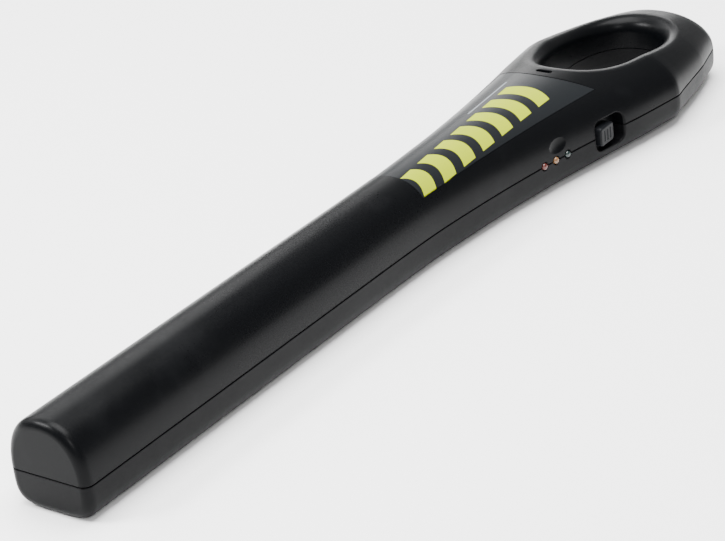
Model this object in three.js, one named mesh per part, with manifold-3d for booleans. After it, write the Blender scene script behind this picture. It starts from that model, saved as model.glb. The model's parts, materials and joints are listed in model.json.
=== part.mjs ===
// Hand-held wand metal detector with a loop handle, built as an assembly of separate pieces.
// Units are millimetres. X runs along the wand with the scanning tip at -X and the loop handle
// at +X, the side with the lamps and the slide switch faces -Y, and Z points up from the
// underside. Places along the wand are given as a distance from the tip, called a station.
import * as THREE from 'three';
import { mergeVertices } from 'three/addons/utils/BufferGeometryUtils.js';
import Module from 'manifold-3d';

const wasm = await Module();
wasm.setup();

// ---- overall sizes ----
const BARREL_LENGTH = 200;     // straight scanning section, tip to the start of the flare
const HANDLE_LENGTH = 220;     // flare and loop handle
const LENGTH = BARREL_LENGTH + HANDLE_LENGTH;
const BARREL_WIDTH = 34.6;
const HANDLE_WIDTH = 79;       // widest part of the loop handle
const BODY_HEIGHT = 35;        // underside to the crown of the top
const END_HEIGHT = 25;         // underside to the crown at the handle end
const PARTING_Z = 13.8;         // height of the joint line between the two shells
const WALL = 2.4;              // moulded wall of both shells
const PART_GAP = 0.4;          // open joint line between the shells
const LIP_THICK = 1.2;         // tongue of the lower shell that stands inside the upper one
const FIT = 0.3;               // clearance between pieces that meet
const FLAT_CUT = 0.3;          // how far the crown of the underside is planed flat

// ---- outline along the wand ----
const FLARE_START = BARREL_LENGTH;           // where the barrel starts to widen
const WAIST_STATION = FLARE_START + 74;      // middle of the flare
const WAIST_WIDTH = 49.2;
const HIP_STATION = FLARE_START + 157;       // widest station
const SHOULDER_STATION = LENGTH - 12;        // where the sides turn in to the blunt end
const SHOULDER_WIDTH = 57;
const END_WIDTH = 36;
const TAPER_START = FLARE_START + 150;       // the handle starts to get thinner here
const TIP_RADIUS = 3.6;        // rounded edge of the scanning tip
const END_RADIUS = 8;          // rounded edge of the handle end
const BARREL_CROWN = 2.3;      // exponent of the top's section: 2 is an ellipse, higher is squarer
const HANDLE_CROWN = 2.1;
const BOTTOM_EXPONENT = 4.2;

// ---- hand loop ----
const LOOP_START = FLARE_START + 127;
const LOOP_END = LENGTH - 23;
const LOOP_WIDTH = 40;
const LOOP_RIM = 8;            // radius of the softly rounded rims
const LOOP_EXPONENT = 2.3;     // 2 is an ellipse, higher is squarer
const LOOP_SKEW = 0.08;        // share by which the loop widens towards the handle end

// ---- label ----
const LABEL_START = FLARE_START + 5;
const LABEL_END = FLARE_START + 118;
const LABEL_ARC = 6.5;         // how far the arched end of the label dips at the middle
const LABEL_DEPTH = 0.9;       // recess in the top shell
const LABEL_THICK = 0.5;
const LABEL_HALF = [2.8, 0.61]; // half width: a fixed part and a share of the body's half width

// ---- sound slot, lamps and switch ----
const SLOT_STATION = FLARE_START + 116.5;
const SLOT_SIZE = [2.4, 7.2];
const LAMP_STATIONS = [74, 81, 88].map((along) => FLARE_START + along);
const LAMP_RADIUS = 1.5;
const SCOOP_STATION = LAMP_STATIONS[1];
const SCOOP_RADII = [8.5, 4.0, 5.6];
const SCOOP_DEPTH = 1.1;
const SWITCH_STATION = FLARE_START + 113.5;
const SWITCH_SIZE = [17, 12.8];
const SWITCH_CORNER = 3.4;
const SWITCH_FLOOR = 2.2;      // depth of the recess at its end nearest the tip
const POCKET_WALL = 1.6;
const KNOB_SIZE = [10.2, 8];
const KNOB_TRAVEL = 4.6;
const BUTTON_STATION = FLARE_START + 100;
const BUTTON_RADIUS = 5;
const BUTTON_TRAVEL = 1.2;
const JACK_STATION = FLARE_START + 117;
const JACK_RADIUS = 3;

// ---- battery bay ----
const BATTERY = [48.5, 26.5, 17.5];
const BATTERY_LOW = 4.2;
const BAY_START = FLARE_START + 24;
const BAY_WALL = 1.5;
const BAY_ROOM = 0.6;
const BAY_HEIGHT = 12.6;
const DOOR_THICK = 2;
const SNAP_ROOM = 6.2;
const PIN_RADIUS = 0.9;        // trunnions of the door's hinge
const HINGE_Z = 1.9;
const KNUCKLE_RADIUS = 1.85;
const KNUCKLE_HALF = 8;
const PIN_REACH = 1.6;         // how far each trunnion goes into its block
const BLOCK_HEIGHT = 3.6;      // hinge blocks beside the knuckle
const TAB_HEIGHT = 6;

// ---- fasteners ----
const SCREW_PAIRS = [[FLARE_START + 8.5, 9.6], [LOOP_START + 9, 26.2], [LENGTH - 17, 17]];
const SCREWS = [[10.5, 0], ...SCREW_PAIRS.flatMap(([station, y]) => [[station, -y], [station, y]])];
const BOSS_RADIUS = 3.2;
const SCREW_RADIUS = 1.25;
const HEAD_RADIUS = 2.6;
const HEAD_HEIGHT = 1.8;
const SINK_DEPTH = 3.4;        // counterbore in the underside
const THREAD_REACH = 7;        // how far a screw goes into the upper boss

// ---- coil ----
const COIL_START = 19;
const COIL_END = FLARE_START - 1;
const FORMER_WIDTH = BARREL_WIDTH - 16.6;
const FORMER_THICK = 3;
const WINDING = [2.8, 5];      // radial build and height of the transmit winding
const PAD_LAP = 0.7;            // how far the lower foam pads reach under the winding
const RECEIVE_WIDTH = FORMER_WIDTH - 3;
const RECEIVE_BUILD = [2.4, 3];

// ---- circuit board ----
const BOARD_START = FLARE_START + 85;
const BOARD_END = FLARE_START + 118;
const BOARD_THICK = 1.6;
const ARM_START = FLARE_START + 68;       // the board's arm beside the battery carries the lamps
const BOARD_POSTS = [[5, -15], [5, 15], [32, -19], [32, 19]].map(([along, y]) => [BOARD_START + along, y]);

// ---- speaker and vibration motor ----
const SPEAKER_STATION = FLARE_START + 101;
const SPEAKER_RADIUS = 14;
const SPEAKER_THICK = 5;
const SPEAKER_LOW = 22.5;
const MOTOR_STATION = LENGTH - 12;
const MOTOR_RADIUS = 3.5;
const MOTOR_LENGTH = 13;
const MOTOR_Z = 10;
const WEIGHT_RADIUS = 3.4;
const WEIGHT_LENGTH = 4;
const LEAD_RADIUS = 0.6;

// ================= helpers =================

const at = (station) => station - LENGTH / 2;
const V = (x, y, z) => new THREE.Vector3(x, y, z);

// Smooth curve through [place, value] knots that never overshoots them.
function smoothCurve(knots) {
  const slope = knots.slice(1).map((k, i) => (k[1] - knots[i][1]) / (k[0] - knots[i][0]));
  const tangent = knots.map((k, i) => {
    if (i === 0) return slope[0];
    if (i === knots.length - 1) return slope[i - 1];
    const [a, b] = [slope[i - 1], slope[i]];
    return a * b <= 0 ? 0 : (2 * a * b) / (a + b);
  });
  return (place) => {
    let i = knots.length - 2;
    while (i > 0 && place < knots[i][0]) i -= 1;
    const span = knots[i + 1][0] - knots[i][0];
    const t = THREE.MathUtils.clamp((place - knots[i][0]) / span, 0, 1);
    const [t2, t3] = [t * t, t * t * t];
    return (2 * t3 - 3 * t2 + 1) * knots[i][1] + (t3 - 2 * t2 + t) * span * tangent[i]
      + (3 * t2 - 2 * t3) * knots[i + 1][1] + (t3 - t2) * span * tangent[i + 1];
  };
}

// Closed mesh from rings of points, with a fan over the first and the last ring.
function loft(rings) {
  const count = rings[0].length;
  const points = rings.flat();
  const index = [];
  for (let r = 0; r + 1 < rings.length; r += 1) {
    for (let k = 0; k < count; k += 1) {
      const [a, b] = [r * count + k, r * count + (k + 1) % count];
      index.push(a, b, b + count, a, b + count, a + count);
    }
  }
  for (const [start, flip] of [[0, true], [(rings.length - 1) * count, false]]) {
    const hub = points.length;
    const middle = V(0, 0, 0);
    for (let k = 0; k < count; k += 1) middle.add(points[start + k]);
    points.push(middle.divideScalar(count));
    for (let k = 0; k < count; k += 1) {
      const [a, b] = [start + k, start + (k + 1) % count];
      index.push(hub, ...(flip ? [b, a] : [a, b]));
    }
  }
  const geometry = new THREE.BufferGeometry().setFromPoints(points);
  geometry.setIndex(index);
  return faceOutward(geometry);
}

// Turns every face over when the mesh is inside out.
function faceOutward(geometry) {
  const p = geometry.attributes.position;
  const index = geometry.index.array;
  const [a, b, c] = [V(), V(), V()];
  let volume = 0;
  for (let i = 0; i < index.length; i += 3) {
    a.fromBufferAttribute(p, index[i]);
    b.fromBufferAttribute(p, index[i + 1]);
    c.fromBufferAttribute(p, index[i + 2]);
    volume += a.dot(b.cross(c));
  }
  if (volume < 0) {
    for (let i = 0; i < index.length; i += 3) {
      [index[i], index[i + 1]] = [index[i + 1], index[i]];
    }
  }
  return geometry;
}

function solid(geometry) {
  const bare = geometry.clone();
  bare.deleteAttribute('normal');
  bare.deleteAttribute('uv');
  const merged = mergeVertices(bare, 1e-4);
  return new wasm.Manifold(new wasm.Mesh({
    numProp: 3,
    vertProperties: new Float32Array(merged.attributes.position.array),
    triVerts: new Uint32Array(merged.index.array),
  }));
}

function geometryOf(shape) {
  const mesh = shape.getMesh();
  const geometry = new THREE.BufferGeometry();
  geometry.setAttribute('position', new THREE.BufferAttribute(mesh.vertProperties, 3));
  geometry.setIndex(new THREE.BufferAttribute(mesh.triVerts, 1));
  geometry.computeVertexNormals();
  return geometry;
}

// A box from its lowest to its highest corner.
function box(low, high) {
  const size = high.map((v, i) => v - low[i]);
  const geometry = new THREE.BoxGeometry(...size);
  geometry.translate(...high.map((v, i) => (v + low[i]) / 2));
  return solid(geometry);
}

// A round bar between two points.
function rod(from, to, radius, sides = 20, endRadius = radius) {
  const [a, b] = [V(...from), V(...to)];
  const geometry = new THREE.CylinderGeometry(endRadius, radius, a.distanceTo(b), sides);
  const turn = new THREE.Quaternion().setFromUnitVectors(V(0, 1, 0), b.clone().sub(a).normalize());
  geometry.applyQuaternion(turn);
  geometry.translate(...a.add(b).multiplyScalar(0.5).toArray());
  return solid(geometry);
}

// An outline in plan, extruded between two heights.
function prism(outline, low, high) {
  const shape = new THREE.Shape(outline.map(([x, y]) => new THREE.Vector2(x, y)));
  const geometry = new THREE.ExtrudeGeometry(shape, { depth: high - low, bevelEnabled: false });
  geometry.translate(0, 0, low);
  return solid(geometry);
}

// A rounded rectangle as a list of points, centred on the origin.
function roundedRectangle(width, height, radius, steps = 5) {
  const points = [];
  const corners = [[1, 1, 0], [-1, 1, 90], [-1, -1, 180], [1, -1, 270]];
  for (const [sx, sy, start] of corners) {
    for (let k = 0; k <= steps; k += 1) {
      const angle = THREE.MathUtils.degToRad(start + (90 * k) / steps);
      points.push([sx * (width / 2 - radius) + radius * Math.cos(angle),
        sy * (height / 2 - radius) + radius * Math.sin(angle)]);
    }
  }
  return points;
}

// A rounded rectangle standing in the XZ plane, extruded along Y.
function sideBlock(station, z, size, radius, y0, y1) {
  const shape = new THREE.Shape(roundedRectangle(size[0], size[1], radius)
    .map(([x, y]) => new THREE.Vector2(x, y)));
  const geometry = new THREE.ExtrudeGeometry(shape, { depth: Math.abs(y1 - y0), bevelEnabled: false });
  geometry.rotateX(Math.PI / 2);
  geometry.translate(at(station), Math.max(y0, y1), z);
  return solid(geometry);
}

// Moves a counter-clockwise outline outward by a distance.
function grow(outline, distance) {
  const count = outline.length;
  return outline.map(([x, y], i) => {
    const a = outline[(i + count - 1) % count];
    const b = outline[(i + 1) % count];
    const normal = new THREE.Vector2(b[1] - a[1], a[0] - b[0]).normalize();
    return [x + normal.x * distance, y + normal.y * distance];
  });
}

// ================= the shape of the body =================

const halfWidth = smoothCurve([
  [0, BARREL_WIDTH / 2],
  [FLARE_START - 25, BARREL_WIDTH / 2],
  [FLARE_START, BARREL_WIDTH / 2 + 0.3],
  [(FLARE_START + WAIST_STATION) / 2, (BARREL_WIDTH + WAIST_WIDTH) / 4 - 0.8],
  [WAIST_STATION, WAIST_WIDTH / 2],
  [(WAIST_STATION + HIP_STATION) / 2, (WAIST_WIDTH + HANDLE_WIDTH) / 4 + 0.1],
  [HIP_STATION - 23, HANDLE_WIDTH / 2 - 3.6],
  [HIP_STATION - 5, HANDLE_WIDTH / 2 - 0.7],
  [HIP_STATION, HANDLE_WIDTH / 2],
  [HIP_STATION + 5, HANDLE_WIDTH / 2 - 0.9],
  [SHOULDER_STATION, SHOULDER_WIDTH / 2],
  [LENGTH, END_WIDTH / 2],
]);
const crown = smoothCurve([
  [0, BARREL_CROWN],
  [FLARE_START, BARREL_CROWN],
  [TAPER_START, HANDLE_CROWN],
  [LENGTH, HANDLE_CROWN],
]);
const topHeight = smoothCurve([
  [0, BODY_HEIGHT],
  [TAPER_START, BODY_HEIGHT],
  [LENGTH, END_HEIGHT],
]);

// Height of the top surface at a station and a distance from the middle line.
function topSurface(station, y) {
  const share = Math.min(1, Math.abs(y) / halfWidth(station));
  return PARTING_Z + (topHeight(station) - PARTING_Z)
    * (1 - share ** crown(station)) ** (1 / crown(station));
}

// One ring around the body, set in from the outer surface by a distance.
function bodyRing(station, inset, endInset, sides) {
  const set = inset + endInset;
  const half = halfWidth(THREE.MathUtils.clamp(station, 0, LENGTH)) - set;
  const up = topHeight(station) - PARTING_Z - set;
  const down = PARTING_Z + FLAT_CUT - set;
  const power = (v, exponent) => Math.sign(v) * Math.abs(v) ** (2 / exponent);
  const ring = [];
  for (let k = 0; k < sides; k += 1) {
    const angle = (2 * Math.PI * k) / sides;
    const exponent = k <= sides / 2 ? crown(station) : BOTTOM_EXPONENT;
    const y = half * power(Math.cos(angle), exponent);
    const z = PARTING_Z + (k <= sides / 2 ? up : down) * power(Math.sin(angle), exponent);
    ring.push(V(at(station), y, Math.max(z, inset)));
  }
  return ring;
}

// The whole outside of the wand as one closed solid, set in by a distance.
function bodySolid(inset, sides = 40) {
  const rings = [];
  const steps = 3;
  const tip = TIP_RADIUS - inset;
  const end = END_RADIUS - inset;
  const round = (radius, k) => {
    const angle = (k / steps) * (Math.PI / 2);
    return [radius * (1 - Math.sin(angle)), radius * (1 - Math.cos(angle))];
  };
  for (let k = 0; k < steps; k += 1) {
    const [endInset, along] = round(tip, k);
    rings.push(bodyRing(inset + along, inset, endInset, sides));
  }
  const between = (a, b, count) => Array.from({ length: count }, (_, k) => a + ((b - a) * k) / count);
  const stations = [TIP_RADIUS, ...between(FLARE_START - 25, FLARE_START, 1),
    ...between(FLARE_START, WAIST_STATION, 3), ...between(WAIST_STATION, HIP_STATION - 23, 3),
    HIP_STATION - 23, HIP_STATION - 5, HIP_STATION, HIP_STATION + 5,
      ...between(HIP_STATION + 30, SHOULDER_STATION, 1),
    SHOULDER_STATION, LENGTH - END_RADIUS];
  stations.forEach((station) => rings.push(bodyRing(station, inset, 0, sides)));
  for (let k = steps - 1; k >= 0; k -= 1) {
    const [endInset, along] = round(end, k);
    rings.push(bodyRing(LENGTH - inset - along, inset, endInset, sides));
  }
  return solid(loft(rings));
}

// The hand loop in plan, counter-clockwise: an egg with its narrow end towards the tip.
const loopOutline = Array.from({ length: 44 }, (_, k) => {
  const angle = (2 * Math.PI * k) / 44;
  const power = (v) => Math.sign(v) * Math.abs(v) ** (2 / LOOP_EXPONENT);
  const along = power(Math.cos(angle));
  const across = power(Math.sin(angle)) * (1 + LOOP_SKEW * along);
  return [at((LOOP_START + LOOP_END) / 2) + ((LOOP_END - LOOP_START) / 2) * along,
    (LOOP_WIDTH / 2) * across];
});

// A cutter for the hand loop whose rims roll over into the crowned surfaces.
function loopCutter() {
  const rings = [];
  const steps = 4;
  const ringAt = (distance, height) => grow(loopOutline, distance)
    .map(([x, y]) => V(x, y, height(x + LENGTH / 2, y)));
  rings.push(ringAt(LOOP_RIM, () => -5));
  for (let k = 0; k <= steps; k += 1) {
    const angle = (k / steps) * (Math.PI / 2);
    rings.push(ringAt(LOOP_RIM * (1 - Math.sin(angle)), () => LOOP_RIM * (1 - Math.cos(angle))));
  }
  for (let k = steps; k >= 0; k -= 1) {
    const angle = (k / steps) * (Math.PI / 2);
    const drop = LOOP_RIM * (1 - Math.cos(angle));
    rings.push(ringAt(LOOP_RIM * (1 - Math.sin(angle)), (x, y) => topSurface(x, y) - drop));
  }
  rings.push(ringAt(LOOP_RIM, () => BODY_HEIGHT + 5));
  return solid(loft(rings));
}

// The label in plan, grown by a clearance: straight sides that follow the flare, one arched end.
function labelOutline(clearance) {
  const edge = (station) => LABEL_HALF[0] + LABEL_HALF[1] * halfWidth(station) + clearance;
  const stations = [0, 1, 2, 3, 4, 5, 6].map((k) => THREE.MathUtils.lerp(LABEL_START - clearance,
    LABEL_END + clearance, k / 6));
  const near = stations.map((station) => [at(station), -edge(station)]);
  const far = stations.map((station) => [at(station), edge(station)]).reverse();
  const arch = [];
  for (let k = 1; k < 10; k += 1) {
    const across = -1 + k / 5;
    const dip = LABEL_ARC * (1 - across * across);
    arch.push([at(LABEL_END + clearance - dip), across * edge(LABEL_END)]);
  }
  return [...near, ...arch, ...far];
}

const sideAt = (station) => halfWidth(station);
const switchStart = SWITCH_STATION - SWITCH_SIZE[0] / 2;
const switchFloor = -(sideAt(switchStart) - SWITCH_FLOOR);
const knobStation = switchStart + 1 + KNOB_SIZE[0] / 2;
const bayEnd = BAY_START + BATTERY[0] + 2 * BAY_ROOM + SNAP_ROOM;
const bayHalf = BATTERY[1] / 2 + BAY_ROOM;
const hingeStation = BAY_START + KNUCKLE_RADIUS + 0.35;
const blockEnd = hingeStation + KNUCKLE_RADIUS + 0.5;
const boardLow = PARTING_Z - LAMP_RADIUS - 0.4 - BOARD_THICK;
const boardTop = boardLow + BOARD_THICK;
const boardInset = WALL + LIP_THICK + 0.9;
const boardHalf = (station) => halfWidth(station) - boardInset + 1;
const coilMiddle = PARTING_Z;
const coilLow = coilMiddle - WINDING[1] / 2;
const COIL_RIBS = [0.3, 0.55, 0.8].map((share) => share * BARREL_LENGTH);

// The door in plan, grown by a clearance, with a notch at each end of its knuckle.
function doorOutline(clearance) {
  const [start, end] = [at(BAY_START + FIT - clearance), at(bayEnd - FIT + clearance)];
  const notch = at(blockEnd + FIT - clearance);
  const half = bayHalf - FIT + clearance;
  const narrow = KNUCKLE_HALF + clearance;
  return [[start, -narrow], [notch, -narrow], [notch, -half], [end, -half], [end, half],
    [notch, half], [notch, narrow], [start, narrow]];
}

const upperSpace = box([-LENGTH, -LENGTH, PARTING_Z + PART_GAP / 2], [LENGTH, LENGTH, LENGTH]);
const lowerSpace = box([-LENGTH, -LENGTH, -LENGTH], [LENGTH, LENGTH, PARTING_Z - PART_GAP / 2]);
const outside = bodySolid(0);
const cavity = bodySolid(WALL).subtract(prism(grow(loopOutline, WALL), -1, BODY_HEIGHT + 1));

// Cuts that both shells share: lamps, switch recess, button, socket.
function sideCuts() {
  const cuts = LAMP_STATIONS.map((station) => {
    const side = -sideAt(station);
    return rod([at(station), side - 3, PARTING_Z], [at(station), side + 6, PARTING_Z], LAMP_RADIUS + FIT,
      16);
  });
  cuts.push(sideBlock(SWITCH_STATION, PARTING_Z, SWITCH_SIZE, SWITCH_CORNER, switchFloor, -HANDLE_WIDTH));
  const slotHalf = [KNOB_TRAVEL + 3.4, 3.4];
  const slotStation = knobStation + KNOB_TRAVEL / 2;
  cuts.push(sideBlock(slotStation, PARTING_Z, slotHalf, 1.2, switchFloor - 1,
    switchFloor + POCKET_WALL + 1));
  const far = sideAt(BUTTON_STATION);
  cuts.push(rod([at(BUTTON_STATION), far - 6, PARTING_Z], [at(BUTTON_STATION), far + 6, PARTING_Z],
    BUTTON_RADIUS + FIT, 28));
  const end = sideAt(JACK_STATION);
  cuts.push(rod([at(JACK_STATION), end - 8, PARTING_Z], [at(JACK_STATION), end + 6, PARTING_Z],
    JACK_RADIUS + FIT, 20));
  return wasm.Manifold.union(cuts);
}

// The wall of the switch recess, shared between the shells.
function switchPocket() {
  const size = SWITCH_SIZE.map((v) => v + 2 * POCKET_WALL);
  return sideBlock(SWITCH_STATION, PARTING_Z, size, SWITCH_CORNER + POCKET_WALL, switchFloor + POCKET_WALL,
    -HANDLE_WIDTH).intersect(bodySolid(WALL / 2));
}

const sharedCuts = sideCuts();
const pocket = switchPocket();
const pocketRoom = sideBlock(SWITCH_STATION, PARTING_Z,
  SWITCH_SIZE.map((v) => v + 2 * POCKET_WALL + 2 * FIT),
  SWITCH_CORNER + POCKET_WALL, switchFloor + POCKET_WALL + FIT, -HANDLE_WIDTH);
const hull = outside.subtract(loopCutter());

function bosses(low, high) {
  const posts = SCREWS.map(([station, y]) => rod([at(station), y, low], [at(station), y, high],
    BOSS_RADIUS, 20));
  return wasm.Manifold.union(posts).intersect(bodySolid(WALL / 2));
}

function screwHoles(low, high, radius) {
  return wasm.Manifold.union(SCREWS.map(([station, y]) => rod([at(station), y, low], [at(station), y, high],
    radius, 16)));
}

const threadTop = PARTING_Z + THREAD_REACH;

function topShell() {
  const speakerRing = rod([at(SPEAKER_STATION), 0, SPEAKER_LOW - 0.5],
    [at(SPEAKER_STATION), 0, BODY_HEIGHT],
    SPEAKER_RADIUS + FIT + 1.4, 36)
    .subtract(rod([at(SPEAKER_STATION), 0, 0], [at(SPEAKER_STATION), 0, BODY_HEIGHT], SPEAKER_RADIUS + FIT,
      36))
    .intersect(bodySolid(WALL / 2));
  let shell = hull.subtract(cavity).add(pocket).add(bosses(0, BODY_HEIGHT)).add(speakerRing);
  const recess = prism(labelOutline(FIT), PARTING_Z + 4, BODY_HEIGHT + 1).subtract(bodySolid(LABEL_DEPTH));
  const slot = prism(roundedRectangle(...SLOT_SIZE,
    SLOT_SIZE[0] / 2 - 0.01).map(([x, y]) => [x + at(SLOT_STATION), y]),
    BODY_HEIGHT - 8, BODY_HEIGHT + 2);
  const scoop = new THREE.SphereGeometry(1, 24, 16);
  scoop.scale(...SCOOP_RADII);
  scoop.translate(at(SCOOP_STATION), -sideAt(SCOOP_STATION) - SCOOP_RADII[1] + SCOOP_DEPTH + 0.6,
    PARTING_Z + 7);
  shell = shell.subtract(recess).subtract(slot).subtract(solid(scoop)).subtract(sharedCuts);
  shell = shell.subtract(screwHoles(0, threadTop + 1, SCREW_RADIUS + FIT));
  return shell.intersect(upperSpace);
}

function bottomShell() {
  const lip = (low, high, outer, inner) => bodySolid(outer).subtract(bodySolid(inner))
    .intersect(box([-LENGTH, -LENGTH, low], [LENGTH, LENGTH, high]));
  const lowLip = lip(PARTING_Z - 2.4, PARTING_Z - 0.4, WALL - FIT, WALL + LIP_THICK);
  const highLip = lip(PARTING_Z - 0.6, PARTING_Z + 1.4, WALL + FIT, WALL + LIP_THICK).subtract(pocketRoom);
  const bayOuter = box([at(BAY_START - BAY_WALL), -bayHalf - BAY_WALL, 0.5],
    [at(bayEnd + BAY_WALL), bayHalf + BAY_WALL, BAY_HEIGHT]);
  const sweep = blockEnd - hingeStation;
  const corner = box([at(hingeStation), -bayHalf, -1], [at(blockEnd) + FIT, bayHalf, HINGE_Z])
    .subtract(rod([at(hingeStation), -bayHalf, HINGE_Z], [at(hingeStation), bayHalf, HINGE_Z], sweep, 32));
  const posts = BOARD_POSTS.map(([station, y]) => rod([at(station), y, 1],
    [at(station), y, boardLow - FIT], 2, 14));
  const cradleRibs = COIL_RIBS.map((station) => box([at(station - 1), -BARREL_WIDTH / 2 + WALL - 0.5, 1],
    [at(station + 1), BARREL_WIDTH / 2 - WALL + 0.5, coilLow - FIT]));
  let shell = hull.subtract(cavity).add(pocket).add(bosses(0, PARTING_Z));
  shell = shell.add(bayOuter.intersect(bodySolid(WALL / 2)));
  shell = shell.add(wasm.Manifold.union([...posts, ...cradleRibs]).intersect(bodySolid(WALL / 2)));
  shell = shell.intersect(lowerSpace).add(lowLip).add(highLip);
  const bay = box([at(BAY_START), -bayHalf, BLOCK_HEIGHT], [at(bayEnd), bayHalf, PARTING_Z + 3]);
  const opening = prism(doorOutline(FIT), -1, BLOCK_HEIGHT + 0.1);
  const reach = KNUCKLE_HALF + PIN_REACH + FIT;
  const trunnions = rod([at(hingeStation), -reach, HINGE_Z], [at(hingeStation), reach, HINGE_Z],
    PIN_RADIUS + FIT, 16);
  shell = shell.subtract(bay).subtract(opening).subtract(trunnions).subtract(corner).subtract(sharedCuts);
  shell = shell.subtract(screwHoles(-1, PARTING_Z + 3, SCREW_RADIUS + FIT));
  return shell.subtract(screwHoles(-1, SINK_DEPTH, HEAD_RADIUS + FIT));
}

function batteryDoor() {
  const plate = outside.subtract(bodySolid(DOOR_THICK)).intersect(prism(doorOutline(0), -1, BLOCK_HEIGHT));
  const trim = box([at(BAY_START) - 1, -bayHalf, -1], [at(hingeStation), bayHalf, BLOCK_HEIGHT + 2]);
  const knuckle = rod([at(hingeStation), -KNUCKLE_HALF, HINGE_Z], [at(hingeStation), KNUCKLE_HALF, HINGE_Z],
    KNUCKLE_RADIUS, 24);
  const reach = KNUCKLE_HALF + PIN_REACH;
  const pins = rod([at(hingeStation), -reach, HINGE_Z], [at(hingeStation), reach, HINGE_Z], PIN_RADIUS, 16);
  const tab = box([at(bayEnd - FIT - 1.3), -5, 1], [at(bayEnd - FIT), 5, TAB_HEIGHT]);
  const grips = [0, 1, 2].map((k) => box([at(bayEnd - 7 - 2.2 * k), -6, -1],
    [at(bayEnd - 6 - 2.2 * k), 6, 0.6]));
  return plate.subtract(trim).add(knuckle).add(pins).add(tab).subtract(wasm.Manifold.union(grips));
}

function labelPlate() {
  return bodySolid(LABEL_DEPTH - FIT - LABEL_THICK).subtract(bodySolid(LABEL_DEPTH - FIT))
    .intersect(prism(labelOutline(0), PARTING_Z + 4.2, BODY_HEIGHT + 1));
}

function screw(station, y) {
  const headLow = SINK_DEPTH - HEAD_HEIGHT - FIT;
  const headTop = SINK_DEPTH - FIT;
  const head = rod([at(station), y, headLow], [at(station), y, headTop], HEAD_RADIUS, 20,
    HEAD_RADIUS - 0.2);
  const shank = rod([at(station), y, headTop - 0.2], [at(station), y, threadTop], SCREW_RADIUS, 14);
  const bars = [[1.7, 0.3], [0.3, 1.7]].map(([a, b]) => box([at(station) - a, y - b, headLow - 1],
    [at(station) + a, y + b, headLow + 0.9]));
  return head.add(shank).subtract(wasm.Manifold.union(bars));
}

// A flat ring with round ends, lying along the wand.
function racetrack(start, end, outerHalf, build, low, height) {
  const ring = (inset) => roundedRectangle(end - start - 2 * inset, 2 * (outerHalf - inset),
    Math.max(outerHalf - inset - 0.01, 0.5), 8).map(([x, y]) => [x + at((start + end) / 2), y]);
  return prism(ring(0), low, low + height).subtract(prism(ring(build), low - 1, low + height + 1));
}

function coilFormer() {
  const half = FORMER_WIDTH / 2;
  const plate = prism(roundedRectangle(COIL_END - COIL_START, FORMER_WIDTH, half - 0.01, 8)
    .map(([x, y]) => [x + at((COIL_START + COIL_END) / 2), y]),
  coilMiddle - FORMER_THICK / 2, coilMiddle + FORMER_THICK / 2);
  const pitch = (COIL_END - COIL_START - 18) / 6;
  const windows = [0, 1, 2, 3, 4, 5].map((k) => {
    const station = COIL_START + 15 + k * pitch;
    return box([at(station), -half + 5.5, 0], [at(station + 14), half - 5.5, BODY_HEIGHT]);
  });
  return plate.subtract(wasm.Manifold.union(windows));
}

const windingHalf = FORMER_WIDTH / 2 + FIT + WINDING[0];
const lowerPadHalf = FORMER_WIDTH / 2 + FIT + PAD_LAP;

function foamPad(start, end, low, high, half) {
  return box([at(start), -half, low], [at(end), half, high]).intersect(bodySolid(WALL + 0.5));
}

function mainBoard() {
  const steps = [BOARD_START, (BOARD_START + BOARD_END) / 2, BOARD_END];
  const farFree = buttonFlange - BUTTON_TRAVEL - FIT;
  const far = steps.map((station) => [at(station), Math.min(boardHalf(station), farFree)]).reverse();
  const nearFree = switchFloor + POCKET_WALL + 7.2;
  const armOut = (station) => -boardHalf(station);
  const armIn = -bayHalf - BAY_WALL - FIT;
  const near = [[at(ARM_START), armIn], [at(ARM_START), armOut(ARM_START)],
    [at(switchStart - 3), armOut(switchStart - 3)], [at(switchStart - 3), nearFree],
      [at(BOARD_END), nearFree]];
  const outline = [[at(BOARD_START), armIn], ...near, ...far];
  return prism(outline, boardLow, boardTop).intersect(bodySolid(boardInset));
}

function speaker() {
  const axis = (radius, low, high) => rod([at(SPEAKER_STATION), 0, low], [at(SPEAKER_STATION), 0, high],
    radius, 32);
  const top = SPEAKER_LOW + SPEAKER_THICK;
  return axis(SPEAKER_RADIUS - 4, SPEAKER_LOW,
    SPEAKER_LOW + 3).add(axis(SPEAKER_RADIUS, SPEAKER_LOW + 2, top))
    .subtract(axis(SPEAKER_RADIUS - 2, top - 0.8, top + 1));
}

function speakerGasket() {
  const low = SPEAKER_LOW + SPEAKER_THICK + FIT;
  const axis = (radius, a, b) => rod([at(SPEAKER_STATION), 0, a], [at(SPEAKER_STATION), 0, b], radius, 32);
  return axis(SPEAKER_RADIUS - 0.2, low, low + 1.2).subtract(axis(SPEAKER_RADIUS - 2.6, low - 1, low + 3));
}

function switchBody() {
  const face = switchFloor + POCKET_WALL + FIT;
  const block = sideBlock(SWITCH_STATION, PARTING_Z + 0.6, [14, 6.6], 0.6, face, face + 5.5);
  const slot = sideBlock(knobStation + KNOB_TRAVEL / 2, PARTING_Z + 0.0, [KNOB_TRAVEL + 3.4, 2.8], 0.4,
    face - 1, face + 3.2);
  return block.subtract(slot);
}

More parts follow.
